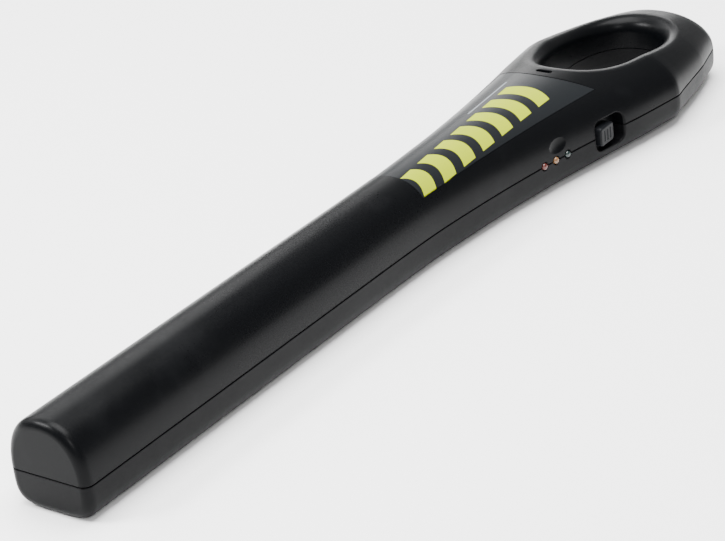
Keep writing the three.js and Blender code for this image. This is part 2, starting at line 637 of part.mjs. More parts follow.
function modeSlider() {
  const base = switchFloor - FIT;
  const face = -(sideAt(knobStation) + 0.5);
  const plate = sideBlock(knobStation, PARTING_Z, KNOB_SIZE, 1.6, face + 0.9, base);
  const pad = sideBlock(knobStation, PARTING_Z, KNOB_SIZE.map((v) => v - 1.4), 1.4, face, base);
  const stem = sideBlock(knobStation, PARTING_Z, [2.6, 2], 0.4, base - 0.2,
    switchFloor + POCKET_WALL + 2.6);
  const grooves = [-1, 0, 1].map((k) => sideBlock(knobStation + 2.2 * k, PARTING_Z, [0.8, 5], 0.3,
    face - 1, face + 0.5));
  return plate.add(pad).add(stem).subtract(wasm.Manifold.union(grooves));
}

const buttonFace = sideAt(BUTTON_STATION) - 0.9;
const buttonFlange = sideAt(BUTTON_STATION) - WALL - 2.6;

function pushButton() {
  const axis = (radius, from, to, sides = 28) => rod([at(BUTTON_STATION), from, PARTING_Z],
    [at(BUTTON_STATION), to, PARTING_Z], radius, sides);
  const cap = axis(BUTTON_RADIUS, buttonFlange, buttonFace)
    .add(axis(BUTTON_RADIUS - 0.8, buttonFace - 0.5, buttonFace + 0.5));
  return cap.add(axis(1.5, buttonFlange - 1.4, buttonFlange + 0.4, 14));
}

function tactSwitch() {
  const tip = buttonFlange - 1.4 - BUTTON_TRAVEL - FIT;
  const body = box([at(BUTTON_STATION) - 3, tip - 4.6, PARTING_Z - 1.6],
    [at(BUTTON_STATION) + 3, tip - 1, PARTING_Z + 4.4]);
  return body.add(rod([at(BUTTON_STATION), tip - 1.2, PARTING_Z + 1],
    [at(BUTTON_STATION), tip, PARTING_Z + 1], 1, 14));
}

function lamp(station) {
  const side = -sideAt(station);
  const body = rod([at(station), side + 0.6, PARTING_Z], [at(station), side + 4.6, PARTING_Z], LAMP_RADIUS,
    16);
  const dome = new THREE.SphereGeometry(LAMP_RADIUS, 16, 10);
  dome.translate(at(station), side + 0.6, PARTING_Z);
  const flange = rod([at(station), side + 4.4, PARTING_Z], [at(station), side + 5.2, PARTING_Z],
    LAMP_RADIUS + 0.3, 16);
  return body.add(solid(dome)).add(flange);
}

function jackSocket() {
  const side = sideAt(JACK_STATION);
  const barrel = rod([at(JACK_STATION), side - 6, PARTING_Z], [at(JACK_STATION), side - 0.2, PARTING_Z],
    JACK_RADIUS, 20);
  const block = box([at(JACK_STATION) - 3.6, side - 14, PARTING_Z - 1.7],
    [at(JACK_STATION) + 3.6, side - WALL - LIP_THICK - 1.6, PARTING_Z + 3.4]);
  const hole = rod([at(JACK_STATION), side - 12.5, PARTING_Z], [at(JACK_STATION), side + 1, PARTING_Z],
    1.8, 16);
  return barrel.add(block).subtract(hole);
}

const batteryStart = BAY_START + BAY_ROOM;
const batteryEnd = batteryStart + BATTERY[0] - 2.2;
const batteryHigh = BATTERY_LOW + BATTERY[2];
const studs = [-6.35, 6.35];

function battery() {
  const section = roundedRectangle(BATTERY[1], BATTERY[2], 2, 4).map(([y, z]) => new THREE.Vector2(y, z));
  const geometry = new THREE.ExtrudeGeometry(new THREE.Shape(section),
    { depth: batteryEnd - batteryStart, bevelEnabled: false });
  geometry.rotateX(Math.PI / 2);
  geometry.rotateZ(Math.PI / 2);
  geometry.translate(at(batteryStart), 0, BATTERY_LOW + BATTERY[2] / 2);
  const z = BATTERY_LOW + BATTERY[2] / 2;
  const terminals = studs.map((y, k) => rod([at(batteryEnd) - 0.2, y, z], [at(batteryEnd + 2.2), y, z],
    k ? 3.9 : 2.7, k ? 6 : 18));
  return solid(geometry).add(wasm.Manifold.union(terminals));
}

function batterySnap() {
  const [start, end] = [batteryEnd + FIT, batteryEnd + 4.2];
  const z = BATTERY_LOW + BATTERY[2] / 2;
  const plate = box([at(start), -12.4, z - 6], [at(end), 12.4, z + 6]);
  const holes = studs.map((y) => rod([at(start) - 1, y, z], [at(batteryEnd + 2.2 + FIT), y, z], 4.4, 20));
  return plate.subtract(wasm.Manifold.union(holes));
}

function batteryFoam() {
  return box([at(batteryStart + 4), -9, batteryHigh + FIT], [at(batteryEnd - 4), 9, BODY_HEIGHT])
    .intersect(bodySolid(WALL + 0.5));
}

// A wire along points given as [distance past the start of the flare, y, z].
function wire(points, radius = LEAD_RADIUS) {
  const path = new THREE.CatmullRomCurve3(points.map(([along, y, z]) => V(at(FLARE_START + along), y, z)),
    false, 'centripetal');
  const circle = new THREE.Shape();
  circle.absarc(0, 0, radius, 0, 2 * Math.PI);
  const steps = Math.max(4, Math.round(path.getLength() / (radius * 8)));
  const geometry = new THREE.ExtrudeGeometry(circle, {
    steps: Math.min(steps, 60), curveSegments: 4, bevelEnabled: false, extrudePath: path,
  });
  return solid(geometry);
}

const upright = (station, y, low, high, radius, sides = 20) => rod([at(station), y, low],
  [at(station), y, high], radius, sides);
const block = (station, y, size, low) => box([at(station) - size[0] / 2, y - size[1] / 2, low],
  [at(station) + size[0] / 2, y + size[1] / 2, low + size[2]]);
const onBoard = boardTop + FIT;
const motorHalf = MOTOR_LENGTH / 2;
const weightStart = motorHalf + 1;

function vibrationMotor() {
  const at3 = (y) => [at(MOTOR_STATION), y, MOTOR_Z];
  const can = rod(at3(-motorHalf), at3(motorHalf), MOTOR_RADIUS, 24);
  return can.add(rod(at3(0.5 - motorHalf), at3(-weightStart - WEIGHT_LENGTH - 0.6), 0.5, 12));
}

function motorClip() {
  const half = MOTOR_RADIUS + 1.6;
  const body = box([at(MOTOR_STATION) - half, -motorHalf + 2, WALL + FIT],
    [at(MOTOR_STATION) + half, motorHalf - 2, MOTOR_Z + 1.4]);
  const gap = MOTOR_RADIUS - 0.6;
  return body.subtract(rod([at(MOTOR_STATION), -20, MOTOR_Z], [at(MOTOR_STATION), 20, MOTOR_Z],
    MOTOR_RADIUS + FIT, 24))
    .subtract(box([at(MOTOR_STATION) - gap, -20, MOTOR_Z], [at(MOTOR_STATION) + gap, 20, MOTOR_Z + 9]));
}

function eccentricWeight() {
  const y0 = -weightStart - WEIGHT_LENGTH;
  const y1 = -weightStart;
  const round = rod([at(MOTOR_STATION), y0, MOTOR_Z], [at(MOTOR_STATION), y1, MOTOR_Z], WEIGHT_RADIUS, 24);
  const half = box([at(MOTOR_STATION) - 5, y0 - 1, MOTOR_Z + 1.4],
    [at(MOTOR_STATION) + 5, y1 + 1, MOTOR_Z + 9]);
  return round.subtract(half).subtract(rod([at(MOTOR_STATION), y0 - 1, MOTOR_Z],
    [at(MOTOR_STATION), y1 + 1, MOTOR_Z], 0.8, 12));
}

// ================= materials =================

const finish = (color, roughness, metalness = 0) => ({ color, roughness, metalness });
const SHELL_BLACK = finish(0x1b1c1e, 0.42);
const LOWER_BLACK = finish(0x202124, 0.45);
const LABEL_SLATE = finish(0x2c3034, 0.35);
const CONTROL_BLACK = finish(0x131415, 0.5);
const STEEL = finish(0x9a9ca0, 0.3, 1);
const COPPER = finish(0xb06a3a, 0.35, 1);
const FORMER_WHITE = finish(0xcfcbbf, 0.6);
const FOAM_GREY = finish(0x55585c, 0.95);
const BOARD_GREEN = finish(0x1f5a36, 0.5);
const CHIP_BLACK = finish(0x17181a, 0.4);
const BATTERY_CASE = finish(0x30363f, 0.35);
const LEAD_RED = finish(0x8c2a22, 0.5);

// ================= assembly =================

const wand = new THREE.Group();
wand.name = 'wand';

function add(name, shape, look) {
  const mesh = new THREE.Mesh(geometryOf(shape), new THREE.MeshStandardMaterial(look));
  mesh.name = name;
  wand.add(mesh);
}

add('top_shell', topShell(), SHELL_BLACK);
add('bottom_shell', bottomShell(), LOWER_BLACK);
add('label_plate', labelPlate(), LABEL_SLATE);
add('battery_door', batteryDoor(), LOWER_BLACK);
SCREWS.forEach(([station, y], k) => add(`screw_${k + 1}`, screw(station, y), STEEL));

add('coil_former', coilFormer(), FORMER_WHITE);
add('transmit_winding', racetrack(COIL_START - FIT - WINDING[0], COIL_END + FIT + WINDING[0], windingHalf,
  WINDING[0], coilLow, WINDING[1]), COPPER);
const receiveLow = coilMiddle + FORMER_THICK / 2 + FIT;
const coilHalfway = (COIL_START + COIL_END) / 2;
[['front', COIL_START + 5, coilHalfway - 3],
  ['rear', coilHalfway + 3, COIL_END - 5]].forEach(([name, start, end]) => {
  add(`receive_winding_${name}`, racetrack(start, end, RECEIVE_WIDTH / 2, RECEIVE_BUILD[0], receiveLow,
    RECEIVE_BUILD[1]), COPPER);
  add(`foam_pad_upper_${name}`, foamPad(start + 8, end - 8, receiveLow + RECEIVE_BUILD[1] + FIT,
    BODY_HEIGHT, FORMER_WIDTH / 2),
    FOAM_GREY);
});
[['front', ...COIL_RIBS.slice(0, 2)], ['rear', ...COIL_RIBS.slice(1)]].forEach(([name, before, after]) => {
  const [start, end] = [before + 4, after - 4];
  add(`foam_pad_lower_${name}`, foamPad(start, end, 0, coilLow - FIT, lowerPadHalf), FOAM_GREY);
});

add('main_board', mainBoard(), BOARD_GREEN);
add('control_chip', block(BOARD_START + 17, 2, [12, 12, 1.8], onBoard), CHIP_BLACK);
add('driver_chip', block(BOARD_START + 7, -9, [6, 8, 1.6], onBoard), CHIP_BLACK);
add('driver_inductor', upright(BOARD_START + 5, 9, onBoard, onBoard + 6, 4), COPPER);
[[29, 9], [21, 14]].forEach(([along, y], k) => {
  add(`capacitor_${k + 1}`, upright(BOARD_START + along, y, onBoard, onBoard + 7, 2.8, 18), CHIP_BLACK);
});
add('coil_connector', block(BOARD_START + 4, 0, [5, 8, 5], onBoard), FORMER_WHITE);
add('speaker', speaker(), CHIP_BLACK);
add('speaker_gasket', speakerGasket(), FOAM_GREY);
add('switch_body', switchBody(), CHIP_BLACK);
add('mode_slider', modeSlider(), CONTROL_BLACK);
add('push_button', pushButton(), CONTROL_BLACK);
add('tact_switch', tactSwitch(), CHIP_BLACK);
add('jack_socket', jackSocket(), CHIP_BLACK);
[['red', 0xb8503c], ['amber', 0xc8904a], ['green', 0x35564c]].forEach(([name, color], k) => {
  add(`led_${name}`, lamp(LAMP_STATIONS[k]), finish(color, 0.2));
});
add('battery_9v', battery(), BATTERY_CASE);
add('battery_snap', batterySnap(), CHIP_BLACK);
add('battery_foam', batteryFoam(), FOAM_GREY);
add('vibration_motor', vibrationMotor(), STEEL);
add('motor_clip', motorClip(), CHIP_BLACK);
add('eccentric_weight', eccentricWeight(), STEEL);

// The leads' points are [distance past the start of the flare, y, z].
add('coil_lead', wire([[2.8, 11.6, 17.3], [6, 13.9, 17.6], [22, 14.4, 17.7], [50, 15.4, 17.7],
  [76, 14, 17.6], [83, 6, 16.6], [85.6, 2, 15.6]]), CONTROL_BLACK);
add('battery_lead_red', wire([[75.6, 3, 14], [79, 1, 16.6], [83, -5.4, 16], [86.6, -6, 13.5]]), LEAD_RED);
add('battery_lead_black', wire([[75.6, -3, 14], [79, -8, 16.6], [83, -14, 15.6], [86.6, -14.6, 13.5]]),
  CONTROL_BLACK);
add('speaker_lead', wire([[104, -8, 21.4], [102.6, -12, 18.4], [100, -14, 13.5]]), LEAD_RED);
add('motor_lead', wire([[208, 7.6, 13], [209.4, 13, 13.4], [207, 20, 14.4], [201, 24.6, 16.4],
  [185, 28.6, 17.4],
  [166, 30.2, 17.4], [150, 31, 17.4], [140, 31, 17.4], [133, 30.5, 17.4], [126, 28.6, 18.6],
    [118, 24.6, 20],
  [111.6, 20.8, 18.6], [109.6, 19.6, 13.6]]), CONTROL_BLACK);

export default wand;
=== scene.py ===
import json
import math

import bmesh
import bpy
import numpy as np
from mathutils import Matrix, Vector


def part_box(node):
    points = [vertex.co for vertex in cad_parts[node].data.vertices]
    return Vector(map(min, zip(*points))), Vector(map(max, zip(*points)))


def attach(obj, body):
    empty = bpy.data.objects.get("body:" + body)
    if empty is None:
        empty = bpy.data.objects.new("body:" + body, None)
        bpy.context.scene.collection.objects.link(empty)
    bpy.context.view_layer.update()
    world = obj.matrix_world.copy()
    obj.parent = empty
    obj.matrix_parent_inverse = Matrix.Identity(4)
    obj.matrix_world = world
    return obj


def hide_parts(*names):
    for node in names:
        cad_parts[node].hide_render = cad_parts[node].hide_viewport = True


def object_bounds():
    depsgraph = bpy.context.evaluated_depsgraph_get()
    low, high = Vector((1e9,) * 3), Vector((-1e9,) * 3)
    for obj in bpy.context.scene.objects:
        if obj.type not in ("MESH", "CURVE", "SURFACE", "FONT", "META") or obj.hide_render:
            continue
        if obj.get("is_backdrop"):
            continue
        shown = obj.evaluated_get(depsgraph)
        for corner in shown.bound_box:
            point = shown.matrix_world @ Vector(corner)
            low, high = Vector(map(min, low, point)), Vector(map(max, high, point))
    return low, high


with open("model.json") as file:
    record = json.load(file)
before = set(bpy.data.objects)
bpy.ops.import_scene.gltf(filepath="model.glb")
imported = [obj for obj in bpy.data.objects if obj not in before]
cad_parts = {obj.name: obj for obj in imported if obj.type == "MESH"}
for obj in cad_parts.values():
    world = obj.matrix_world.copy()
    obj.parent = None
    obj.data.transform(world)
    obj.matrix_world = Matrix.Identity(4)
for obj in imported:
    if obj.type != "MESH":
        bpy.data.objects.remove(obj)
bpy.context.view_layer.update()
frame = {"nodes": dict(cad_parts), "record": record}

bpy.ops.object.select_all(action="DESELECT")

# ---------------------------------------------------------------------------------------------
# Camera, floor and lights. A long lens looks down the wand from beyond its tip, on the side
# with the lamps. The floor is plain pale card under one broad overhead light and the room. A
# softbox behind the far edge and three small ones give the tip and the handle their gloss.

AIM, DISTANCE, FOCAL_LENGTH, SENSOR = (-0.021, 0, 0.01355), 0.9774, 127.5, 36
OFF_CENTRE = (0.0044, -0.0103)      # how far the aim stands from the frame's middle, over the distance
azimuth, elevation, roll = (math.radians(angle) for angle in (-52.3, 25.5, -6.64))
back = Vector((math.sin(azimuth) * math.cos(elevation), -math.cos(azimuth) * math.cos(elevation),
               math.sin(elevation)))
level = (-back).cross(Vector((0, 0, 1))).normalized()
upward = level.cross(-back)
turned = math.cos(roll) * level + math.sin(roll) * upward
raised = math.cos(roll) * upward - math.sin(roll) * level
ahead = (-back - turned * OFF_CENTRE[0] + raised * OFF_CENTRE[1]).normalized()
sideways = (turned - ahead * turned.dot(ahead)).normalized()
eye = Vector(AIM) + back * DISTANCE

lens = bpy.data.cameras.new("camera")
lens.lens = FOCAL_LENGTH
lens.sensor_width = SENSOR
lens.clip_start = 0.01
camera = bpy.data.objects.new("camera", lens)
bpy.context.scene.collection.objects.link(camera)
camera.matrix_world = Matrix.Translation(eye) @ Matrix(
    (sideways, sideways.cross(ahead), -ahead)).transposed().to_4x4()
bpy.context.scene.camera = camera

bpy.ops.mesh.primitive_plane_add(size=8, location=(0, 0, -0.0002))
floor = bpy.context.object
floor.name = "floor"
floor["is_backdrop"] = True


def new_material(name, colour, roughness, metallic=0.0):
    material = bpy.data.materials.new(name)
    material.use_nodes = True
    shader = material.node_tree.nodes["Principled BSDF"]
    shader.inputs["Base Color"].default_value = (*colour, 1)
    shader.inputs["Roughness"].default_value = roughness
    shader.inputs["Metallic"].default_value = metallic
    return material, material.node_tree, shader


floor.data.materials.append(new_material("pale_card", (0.93, 0.93, 0.93), 0.95)[0])


def soft_light(name, place, target, size, watts):
    """A rectangular softbox at a place in metres, turned to its target."""
    light = bpy.data.lights.new(name, "AREA")
    light.shape = "RECTANGLE"
    light.size, light.size_y = size
    light.energy = watts
    lamp = bpy.data.objects.new(name, light)
    bpy.context.scene.collection.objects.link(lamp)
    lamp.location = place
    lamp.rotation_euler = (Vector(target) - Vector(place)).to_track_quat("-Z", "Y").to_euler()


soft_light("far_softbox", (0.3, 1.3, 1.0), (0, 0, 0), (2.0, 0.8), 20)
soft_light("overhead_softbox", (0.0, 0.0, 1.6), (0, 0, 0), (1.4, 1.4), 98)
soft_light("tip_softbox", (-0.72, 0.66, 0.88), (-0.2, 0, 0), (0.35, 0.2), 22)
soft_light("corner_softbox", (-0.76, -0.76, 0.77), (-0.2, 0, 0), (0.2, 0.2), 5)
soft_light("handle_softbox", (1.15, 0.66, 0.3), (0.18, 0, 0.03), (0.45, 0.28), 2.4)
room = bpy.data.worlds.new("room")
room.use_nodes = True
room.node_tree.nodes["Background"].inputs["Color"].default_value = (1, 1, 1, 1)
room.node_tree.nodes["Background"].inputs["Strength"].default_value = 0.6
bpy.context.scene.world = room

# ---------------------------------------------------------------------------------------------
# The two shells. Each is one satin black ABS moulding, and the two meet at a joint line all
# round the side, where a lip on the lower one stands inside the upper one. Sizes here are in
# millimetres, meshes in metres, and a station is a distance from the scanning tip.

MM = 0.001
LENGTH = 420
FLARE = 200
BARREL_HALF, HANDLE_HALF, WAIST_HALF, SHOULDER_HALF, END_HALF = 17.3, 39.5, 24.6, 28.5, 18
BODY_HEIGHT, END_HEIGHT, JOINT_Z, JOINT_GAP = 35, 25, 13.8, 0.4
WALL, LIP, LIP_FOOT, LIP_TONGUE, FIT, FLAT_CUT = 2.4, 1.2, 2.4, 1.4, 0.3, 0.3
TIP_ROUND, END_ROUND, FOOT_EXPONENT = 3.6, 8, 4.2
WAIST, HIP, SHOULDER, TAPER = FLARE + 74, FLARE + 157, LENGTH - 12, FLARE + 150
BARREL_END = FLARE - 25             # where the straight barrel starts to widen
SIDES, CORE_SIDES = 144, 96         # points round the outer skin, and round what lies inside it
PAST_ENDS, PAST_SIDES, OVER = 300, 100, 5       # how far a cutting tool reaches beyond the body


def at(station):
    return station - LENGTH / 2


def smooth_curve(knots):
    """A curve through (place, value) knots that never overshoots between them."""
    places, values = (np.array(column, float) for column in zip(*knots))
    slopes = np.diff(values) / np.diff(places)
    tangents = np.empty(len(places))
    tangents[0], tangents[-1] = slopes[0], slopes[-1]
    for i in range(1, len(places) - 1):
        a, b = slopes[i - 1], slopes[i]
        tangents[i] = 0 if a * b <= 0 else 2 * a * b / (a + b)

    def value(place):
        i = int(np.clip(np.searchsorted(places, place, side="right") - 1, 0, len(places) - 2))
        span = places[i + 1] - places[i]
        t = min(1, max(0, (place - places[i]) / span))
        return float((2 * t**3 - 3 * t**2 + 1) * values[i] + (t**3 - 2 * t**2 + t) * span * tangents[i]
                     + (3 * t**2 - 2 * t**3) * values[i + 1] + (t**3 - t**2) * span * tangents[i + 1])
    return value


half_width = smooth_curve([
    (0, BARREL_HALF), (BARREL_END, BARREL_HALF), (FLARE, BARREL_HALF + 0.3),
    ((FLARE + WAIST) / 2, (BARREL_HALF + WAIST_HALF) / 2 - 0.8), (WAIST, WAIST_HALF),
    ((WAIST + HIP) / 2, (WAIST_HALF + HANDLE_HALF) / 2 + 0.1), (HIP - 23, HANDLE_HALF - 3.6),
    (HIP - 5, HANDLE_HALF - 0.7), (HIP, HANDLE_HALF), (HIP + 5, HANDLE_HALF - 0.9),
    (SHOULDER, SHOULDER_HALF), (LENGTH, END_HALF)])
top_height = smooth_curve([(0, BODY_HEIGHT), (TAPER, BODY_HEIGHT), (LENGTH, END_HEIGHT)])
BARREL_CROWN, HANDLE_CROWN = 2.3, 2.1
crown = smooth_curve([(0, BARREL_CROWN), (FLARE, BARREL_CROWN),
                      (TAPER, HANDLE_CROWN), (LENGTH, HANDLE_CROWN)])


def top_z(station, y):
    share = min(1, abs(y) / half_width(station))
    return JOINT_Z + (top_height(station) - JOINT_Z) * (1 - share**crown(station)) ** (1 / crown(station))


def side_y(station, z):
    if z >= JOINT_Z:
        share, power = (z - JOINT_Z) / (top_height(station) - JOINT_Z), crown(station)
    else:
        share, power = (JOINT_Z - z) / (JOINT_Z + FLAT_CUT), FOOT_EXPONENT
    return half_width(station) * (1 - min(1, share) ** power) ** (1 / power)


def body_ring(station, inset, end_inset, sides):
    """One section of the body: crowned above the joint line, boxy below it, and flat underneath."""
    lost = inset + end_inset
    place = min(LENGTH, max(0, station))
    half = half_width(place) - lost
    up, down = top_height(place) - JOINT_Z - lost, JOINT_Z + FLAT_CUT - lost
    ring = []
    for k in range(sides):
        angle = 2 * math.pi * k / sides
        power = crown(place) if k <= sides / 2 else FOOT_EXPONENT
        across, high = (math.copysign(abs(v) ** (2 / power), v) for v in (math.cos(angle), math.sin(angle)))
        z = JOINT_Z + (up if k <= sides / 2 else down) * high
        ring.append((at(station), half * across, max(z, inset)))
    return ring


def outward(obj):
    """The same mesh with its doubles merged and its faces turned outwards."""
    mesh = bmesh.new()
    mesh.from_mesh(obj.data)
    bmesh.ops.remove_doubles(mesh, verts=mesh.verts, dist=1e-7)
    bmesh.ops.recalc_face_normals(mesh, faces=mesh.faces)
    mesh.to_mesh(obj.data)
    mesh.free()
    return obj


def loft(rings, name="loft"):
    """A closed solid skinned over rings of equal point counts, in millimetres."""
    count = len(rings[0])
    points = [tuple(MM * c for c in point) for ring in rings for point in ring]
    faces = []
    for start in range(0, (len(rings) - 1) * count, count):
        for k in range(count):
            after = (k + 1) % count
            faces.append((start + k, start + after, start + count + after, start + count + k))
    faces.append(tuple(range(count)))
    faces.append(tuple(range((len(rings) - 1) * count, len(rings) * count)))
    mesh = bpy.data.meshes.new(name)
    mesh.from_pydata(points, [], faces)
    obj = bpy.data.objects.new(name, mesh)
    bpy.context.scene.collection.objects.link(obj)
    return outward(obj)


def rolled(radius, steps):
    """How far a quarter-round edge stands inwards and along, from one end of its arc to the other."""
    angles = [math.pi / 2 * k / steps for k in range(steps + 1)]
    return [(radius * (1 - math.sin(a)), radius * (1 - math.cos(a))) for a in angles]


def body_stations():
    inner = [TIP_ROUND + 0.4, 12, 30, 60, 100, 140, BARREL_END]
    inner += [BARREL_END + k * 2.5 for k in range(1, 87) if BARREL_END + k * 2.5 < LENGTH - END_ROUND - 1]
    return sorted(set(inner + [HIP - 1.2, HIP, HIP + 1.2, SHOULDER]))


def body_solid(inset, sides=SIDES):
    """The whole body as one solid, shrunk all round by an inset, with rounded tip and end."""
    tip = rolled(TIP_ROUND - inset, 8)[:-1] if TIP_ROUND > inset + 0.2 else [(0, 0)]
    end = rolled(END_ROUND - inset, 10)[:-1]
    rings = [body_ring(inset + along, inset, lost, sides) for lost, along in tip]
    rings += [body_ring(station, inset, 0, sides) for station in body_stations() if station > inset + 1]
    rings.append(body_ring(LENGTH - END_ROUND, inset, 0, sides))
    rings += [body_ring(LENGTH - inset - along, inset, lost, sides) for lost, along in reversed(end)]
    return loft(rings)


def combine(obj, tool, how="DIFFERENCE"):
    """Cuts, joins or trims a solid with another, which is used up."""
    bpy.context.view_layer.objects.active = obj
    change = obj.modifiers.new("combine", "BOOLEAN")
    change.operation = how
    change.solver = "MANIFOLD"
    change.object = tool
    bpy.ops.object.modifier_apply(modifier=change.name)
    bpy.data.objects.remove(tool)
    return obj


def cut(obj, *tools):
    for tool in tools:
        combine(obj, tool)
    return obj


def unite(obj, *tools):
    for tool in tools:
        combine(obj, tool, "UNION")
    return obj


def within(obj, tool):
    return combine(obj, tool, "INTERSECT")


def rod(start, end, radius, sides=48, end_radius=None):
    start, end = Vector(start) * MM, Vector(end) * MM
    turn = Vector((0, 0, 1)).rotation_difference(end - start)
    bpy.ops.mesh.primitive_cone_add(
        vertices=sides, radius1=radius * MM, radius2=(end_radius or radius) * MM, depth=(end - start).length,
        location=(start + end) / 2, rotation=turn.to_euler())
    bpy.ops.object.transform_apply(location=True, rotation=True, scale=True)
    return bpy.context.object


def block(low, high):
    low, high = Vector(low) * MM, Vector(high) * MM
    bpy.ops.mesh.primitive_cube_add(size=1, location=(low + high) / 2, scale=high - low)
    bpy.ops.object.transform_apply(location=True, rotation=True, scale=True)
    return bpy.context.object


def upright(station, y, low, high, radius, sides=48):
    return rod((at(station), y, low), (at(station), y, high), radius, sides)


def crosswise(station, z, start, end, radius, sides=48):
    return rod((at(station), start, z), (at(station), end, z), radius, sides)


def prism(outline, low, high):
    return loft([[(x, y, z) for x, y in outline] for z in (low, high)])


def rounded_rectangle(width, height, radius, steps=8):
    points = []
    for sx, sy, start in ((1, 1, 0), (-1, 1, 90), (-1, -1, 180), (1, -1, 270)):
        for k in range(steps + 1):
            angle = math.radians(start + 90 * k / steps)
            points.append((sx * (width / 2 - radius) + radius * math.cos(angle),
                           sy * (height / 2 - radius) + radius * math.sin(angle)))
    return points


def grow(outline, distance):
    """An outline moved outwards by a distance."""
    grown = []
    for i, (x, y) in enumerate(outline):
        before, after = outline[i - 1], outline[(i + 1) % len(outline)]
        normal = Vector((after[1] - before[1], before[0] - after[0])).normalized()
        grown.append((x + normal.x * distance, y + normal.y * distance))
    return grown


LOOP_START, LOOP_END, LOOP_WIDTH, LOOP_RIM = FLARE + 127, LENGTH - 23, 40, 8
LOOP_EXPONENT, LOOP_SKEW, LOOP_POINTS = 2.3, 0.08, 176
loop_outline = []
for k in range(LOOP_POINTS):
    angle = 2 * math.pi * k / LOOP_POINTS
    along, across = (math.copysign(abs(v) ** (2 / LOOP_EXPONENT), v)
                     for v in (math.cos(angle), math.sin(angle)))
    loop_outline.append((at((LOOP_START + LOOP_END) / 2) + (LOOP_END - LOOP_START) / 2 * along,
                         LOOP_WIDTH / 2 * across * (1 + LOOP_SKEW * along)))


def loop_cutter():
    """The opening of the loop handle, flared into the top and the underside by a rolled rim."""
    def ring(distance, height):
        return [(x, y, height(x + LENGTH / 2, y)) for x, y in grow(loop_outline, distance)]
    rims = rolled(LOOP_RIM, 12)
    rings = [ring(LOOP_RIM, lambda s, y: -OVER)]
    rings += [ring(out, lambda s, y, drop=drop: drop) for out, drop in rims]
    rings += [ring(out, lambda s, y, drop=drop: top_z(s, y) - drop) for out, drop in reversed(rims)]
    rings.append(ring(LOOP_RIM, lambda s, y: BODY_HEIGHT + OVER))
    return loft(rings)


def side_cutter(station, size, radius, floor, rim, facing=-1):
    """A recess or hole in the side wall, whose rim rolls over into the curved surface."""
    outline = rounded_rectangle(*size, radius, 10)

    def ring(distance, depth):
        points = []
        for u, w in grow(outline, distance):
            surface = side_y(station + u, JOINT_Z + w)
            points.append((at(station + u), facing * (surface - depth), JOINT_Z + w))
        return points
    rings = [[(at(station + u), facing * floor, JOINT_Z + w) for u, w in outline]]
    rings += [ring(out, depth) for out, depth in reversed(rolled(rim, 6))]
    rings.append(ring(rim, -6))
    return loft(rings)


def joint_trim(above, edge=0.28):
    """Everything inside a small rounded edge that runs along the joint line."""
    side = [(at(along), half_width(along) - lost) for lost, along in rolled(TIP_ROUND, 8)]
    side += [(at(station), half_width(station)) for station in body_stations()]
    side += [(at(LENGTH - along), half_width(LENGTH - along) - lost)
             for lost, along in reversed(rolled(END_ROUND, 10))]
    outline = [(x, -y) for x, y in side] + [(x, y) for x, y in reversed(side)]
    sign = 1 if above else -1
    start = JOINT_Z + sign * JOINT_GAP / 2
    levels = [(start - sign, edge)]
    levels += [(start + sign * along, lost) for lost, along in rolled(edge, 6)[:-1]]
    levels += [(levels[-1][0] + sign * 0.02, -3), (start + sign * 40, -3)]
    return loft([[(x, y, z) for x, y in grow(outline, -inset)] for z, inset in levels])


SCREWS = [(10.5, 0), (FLARE + 8.5, -9.6), (FLARE + 8.5, 9.6), (LOOP_START + 9, -26.2),
          (LOOP_START + 9, 26.2), (LENGTH - 17, -17), (LENGTH - 17, 17)]
BOSS, SCREW, HEAD, SINK, THREAD_TOP = 3.2, 1.25, 2.6, 3.4, JOINT_Z + 7
LAMPS = [FLARE + 74, FLARE + 81, FLARE + 88]
LAMP = 1.5
SWITCH, SWITCH_SIZE, SWITCH_CORNER, SWITCH_DEPTH, SWITCH_RIM = FLARE + 113.5, (17, 12.8), 3.4, 2.2, 0.7
POCKET, STEM_SLOT, STEM_CORNER = 1.6, 3.4, 1.2
switch_start = SWITCH - SWITCH_SIZE[0] / 2
switch_floor = half_width(switch_start) - SWITCH_DEPTH
KNOB_TRAVEL, KNOB_START = 4.6, 6.1
knob = switch_start + KNOB_START
BUTTON, BUTTON_RADIUS, JACK, JACK_RADIUS = FLARE + 100, 5, FLARE + 117, 3
LAMP_HOLE, BUTTON_HOLE, JACK_HOLE = (6, 0.35), (6, 0.5), (8, 0.5)      # depth and rolled rim
SPEAKER, SPEAKER_RADIUS, SPEAKER_LOW, SPEAKER_WALL = FLARE + 101, 14, 22.5, 1.4
LABEL_START, LABEL_END, LABEL_ARC, LABEL_DEPTH = FLARE + 5, FLARE + 118, 6.5, 0.9
LABEL_EDGE, LABEL_SHARE = 2.8, 0.61
SOUND_SLOT, SLOT_SIZE, SLOT_RADIUS, SLOT_RIM, SLOT_DEPTH = FLARE + 116.5, (2.4, 7.2), 1.19, 0.35, 8
SCOOP, SCOOP_DEPTH, SCOOP_HEIGHT = (8.5, 4.0, 5.6), 1.5, 7


def label_outline(clearance, count=48):
    """The label in plan: it widens with the handle and ends in a hollow arc beside the loop."""
    def edge(station):
        return LABEL_EDGE + LABEL_SHARE * half_width(station) + clearance
    stations = [LABEL_START - clearance + (LABEL_END - LABEL_START + 2 * clearance) * k / count
                for k in range(count + 1)]
    near = [(at(s), -edge(s)) for s in stations]
    far = [(at(s), edge(s)) for s in reversed(stations)]
    arch = []
    for k in range(1, 24):
        across = -1 + k / 12
        dip = LABEL_ARC * (1 - across * across)
        arch.append((at(LABEL_END + clearance - dip), across * edge(LABEL_END)))
    return near + arch + far


def round_hole(station, radius, depth, rim, facing):
    size = 2 * (radius + FIT)
    return side_cutter(station, (size, size), size / 2 - 0.01, side_y(station, JOINT_Z) - depth, rim, facing)


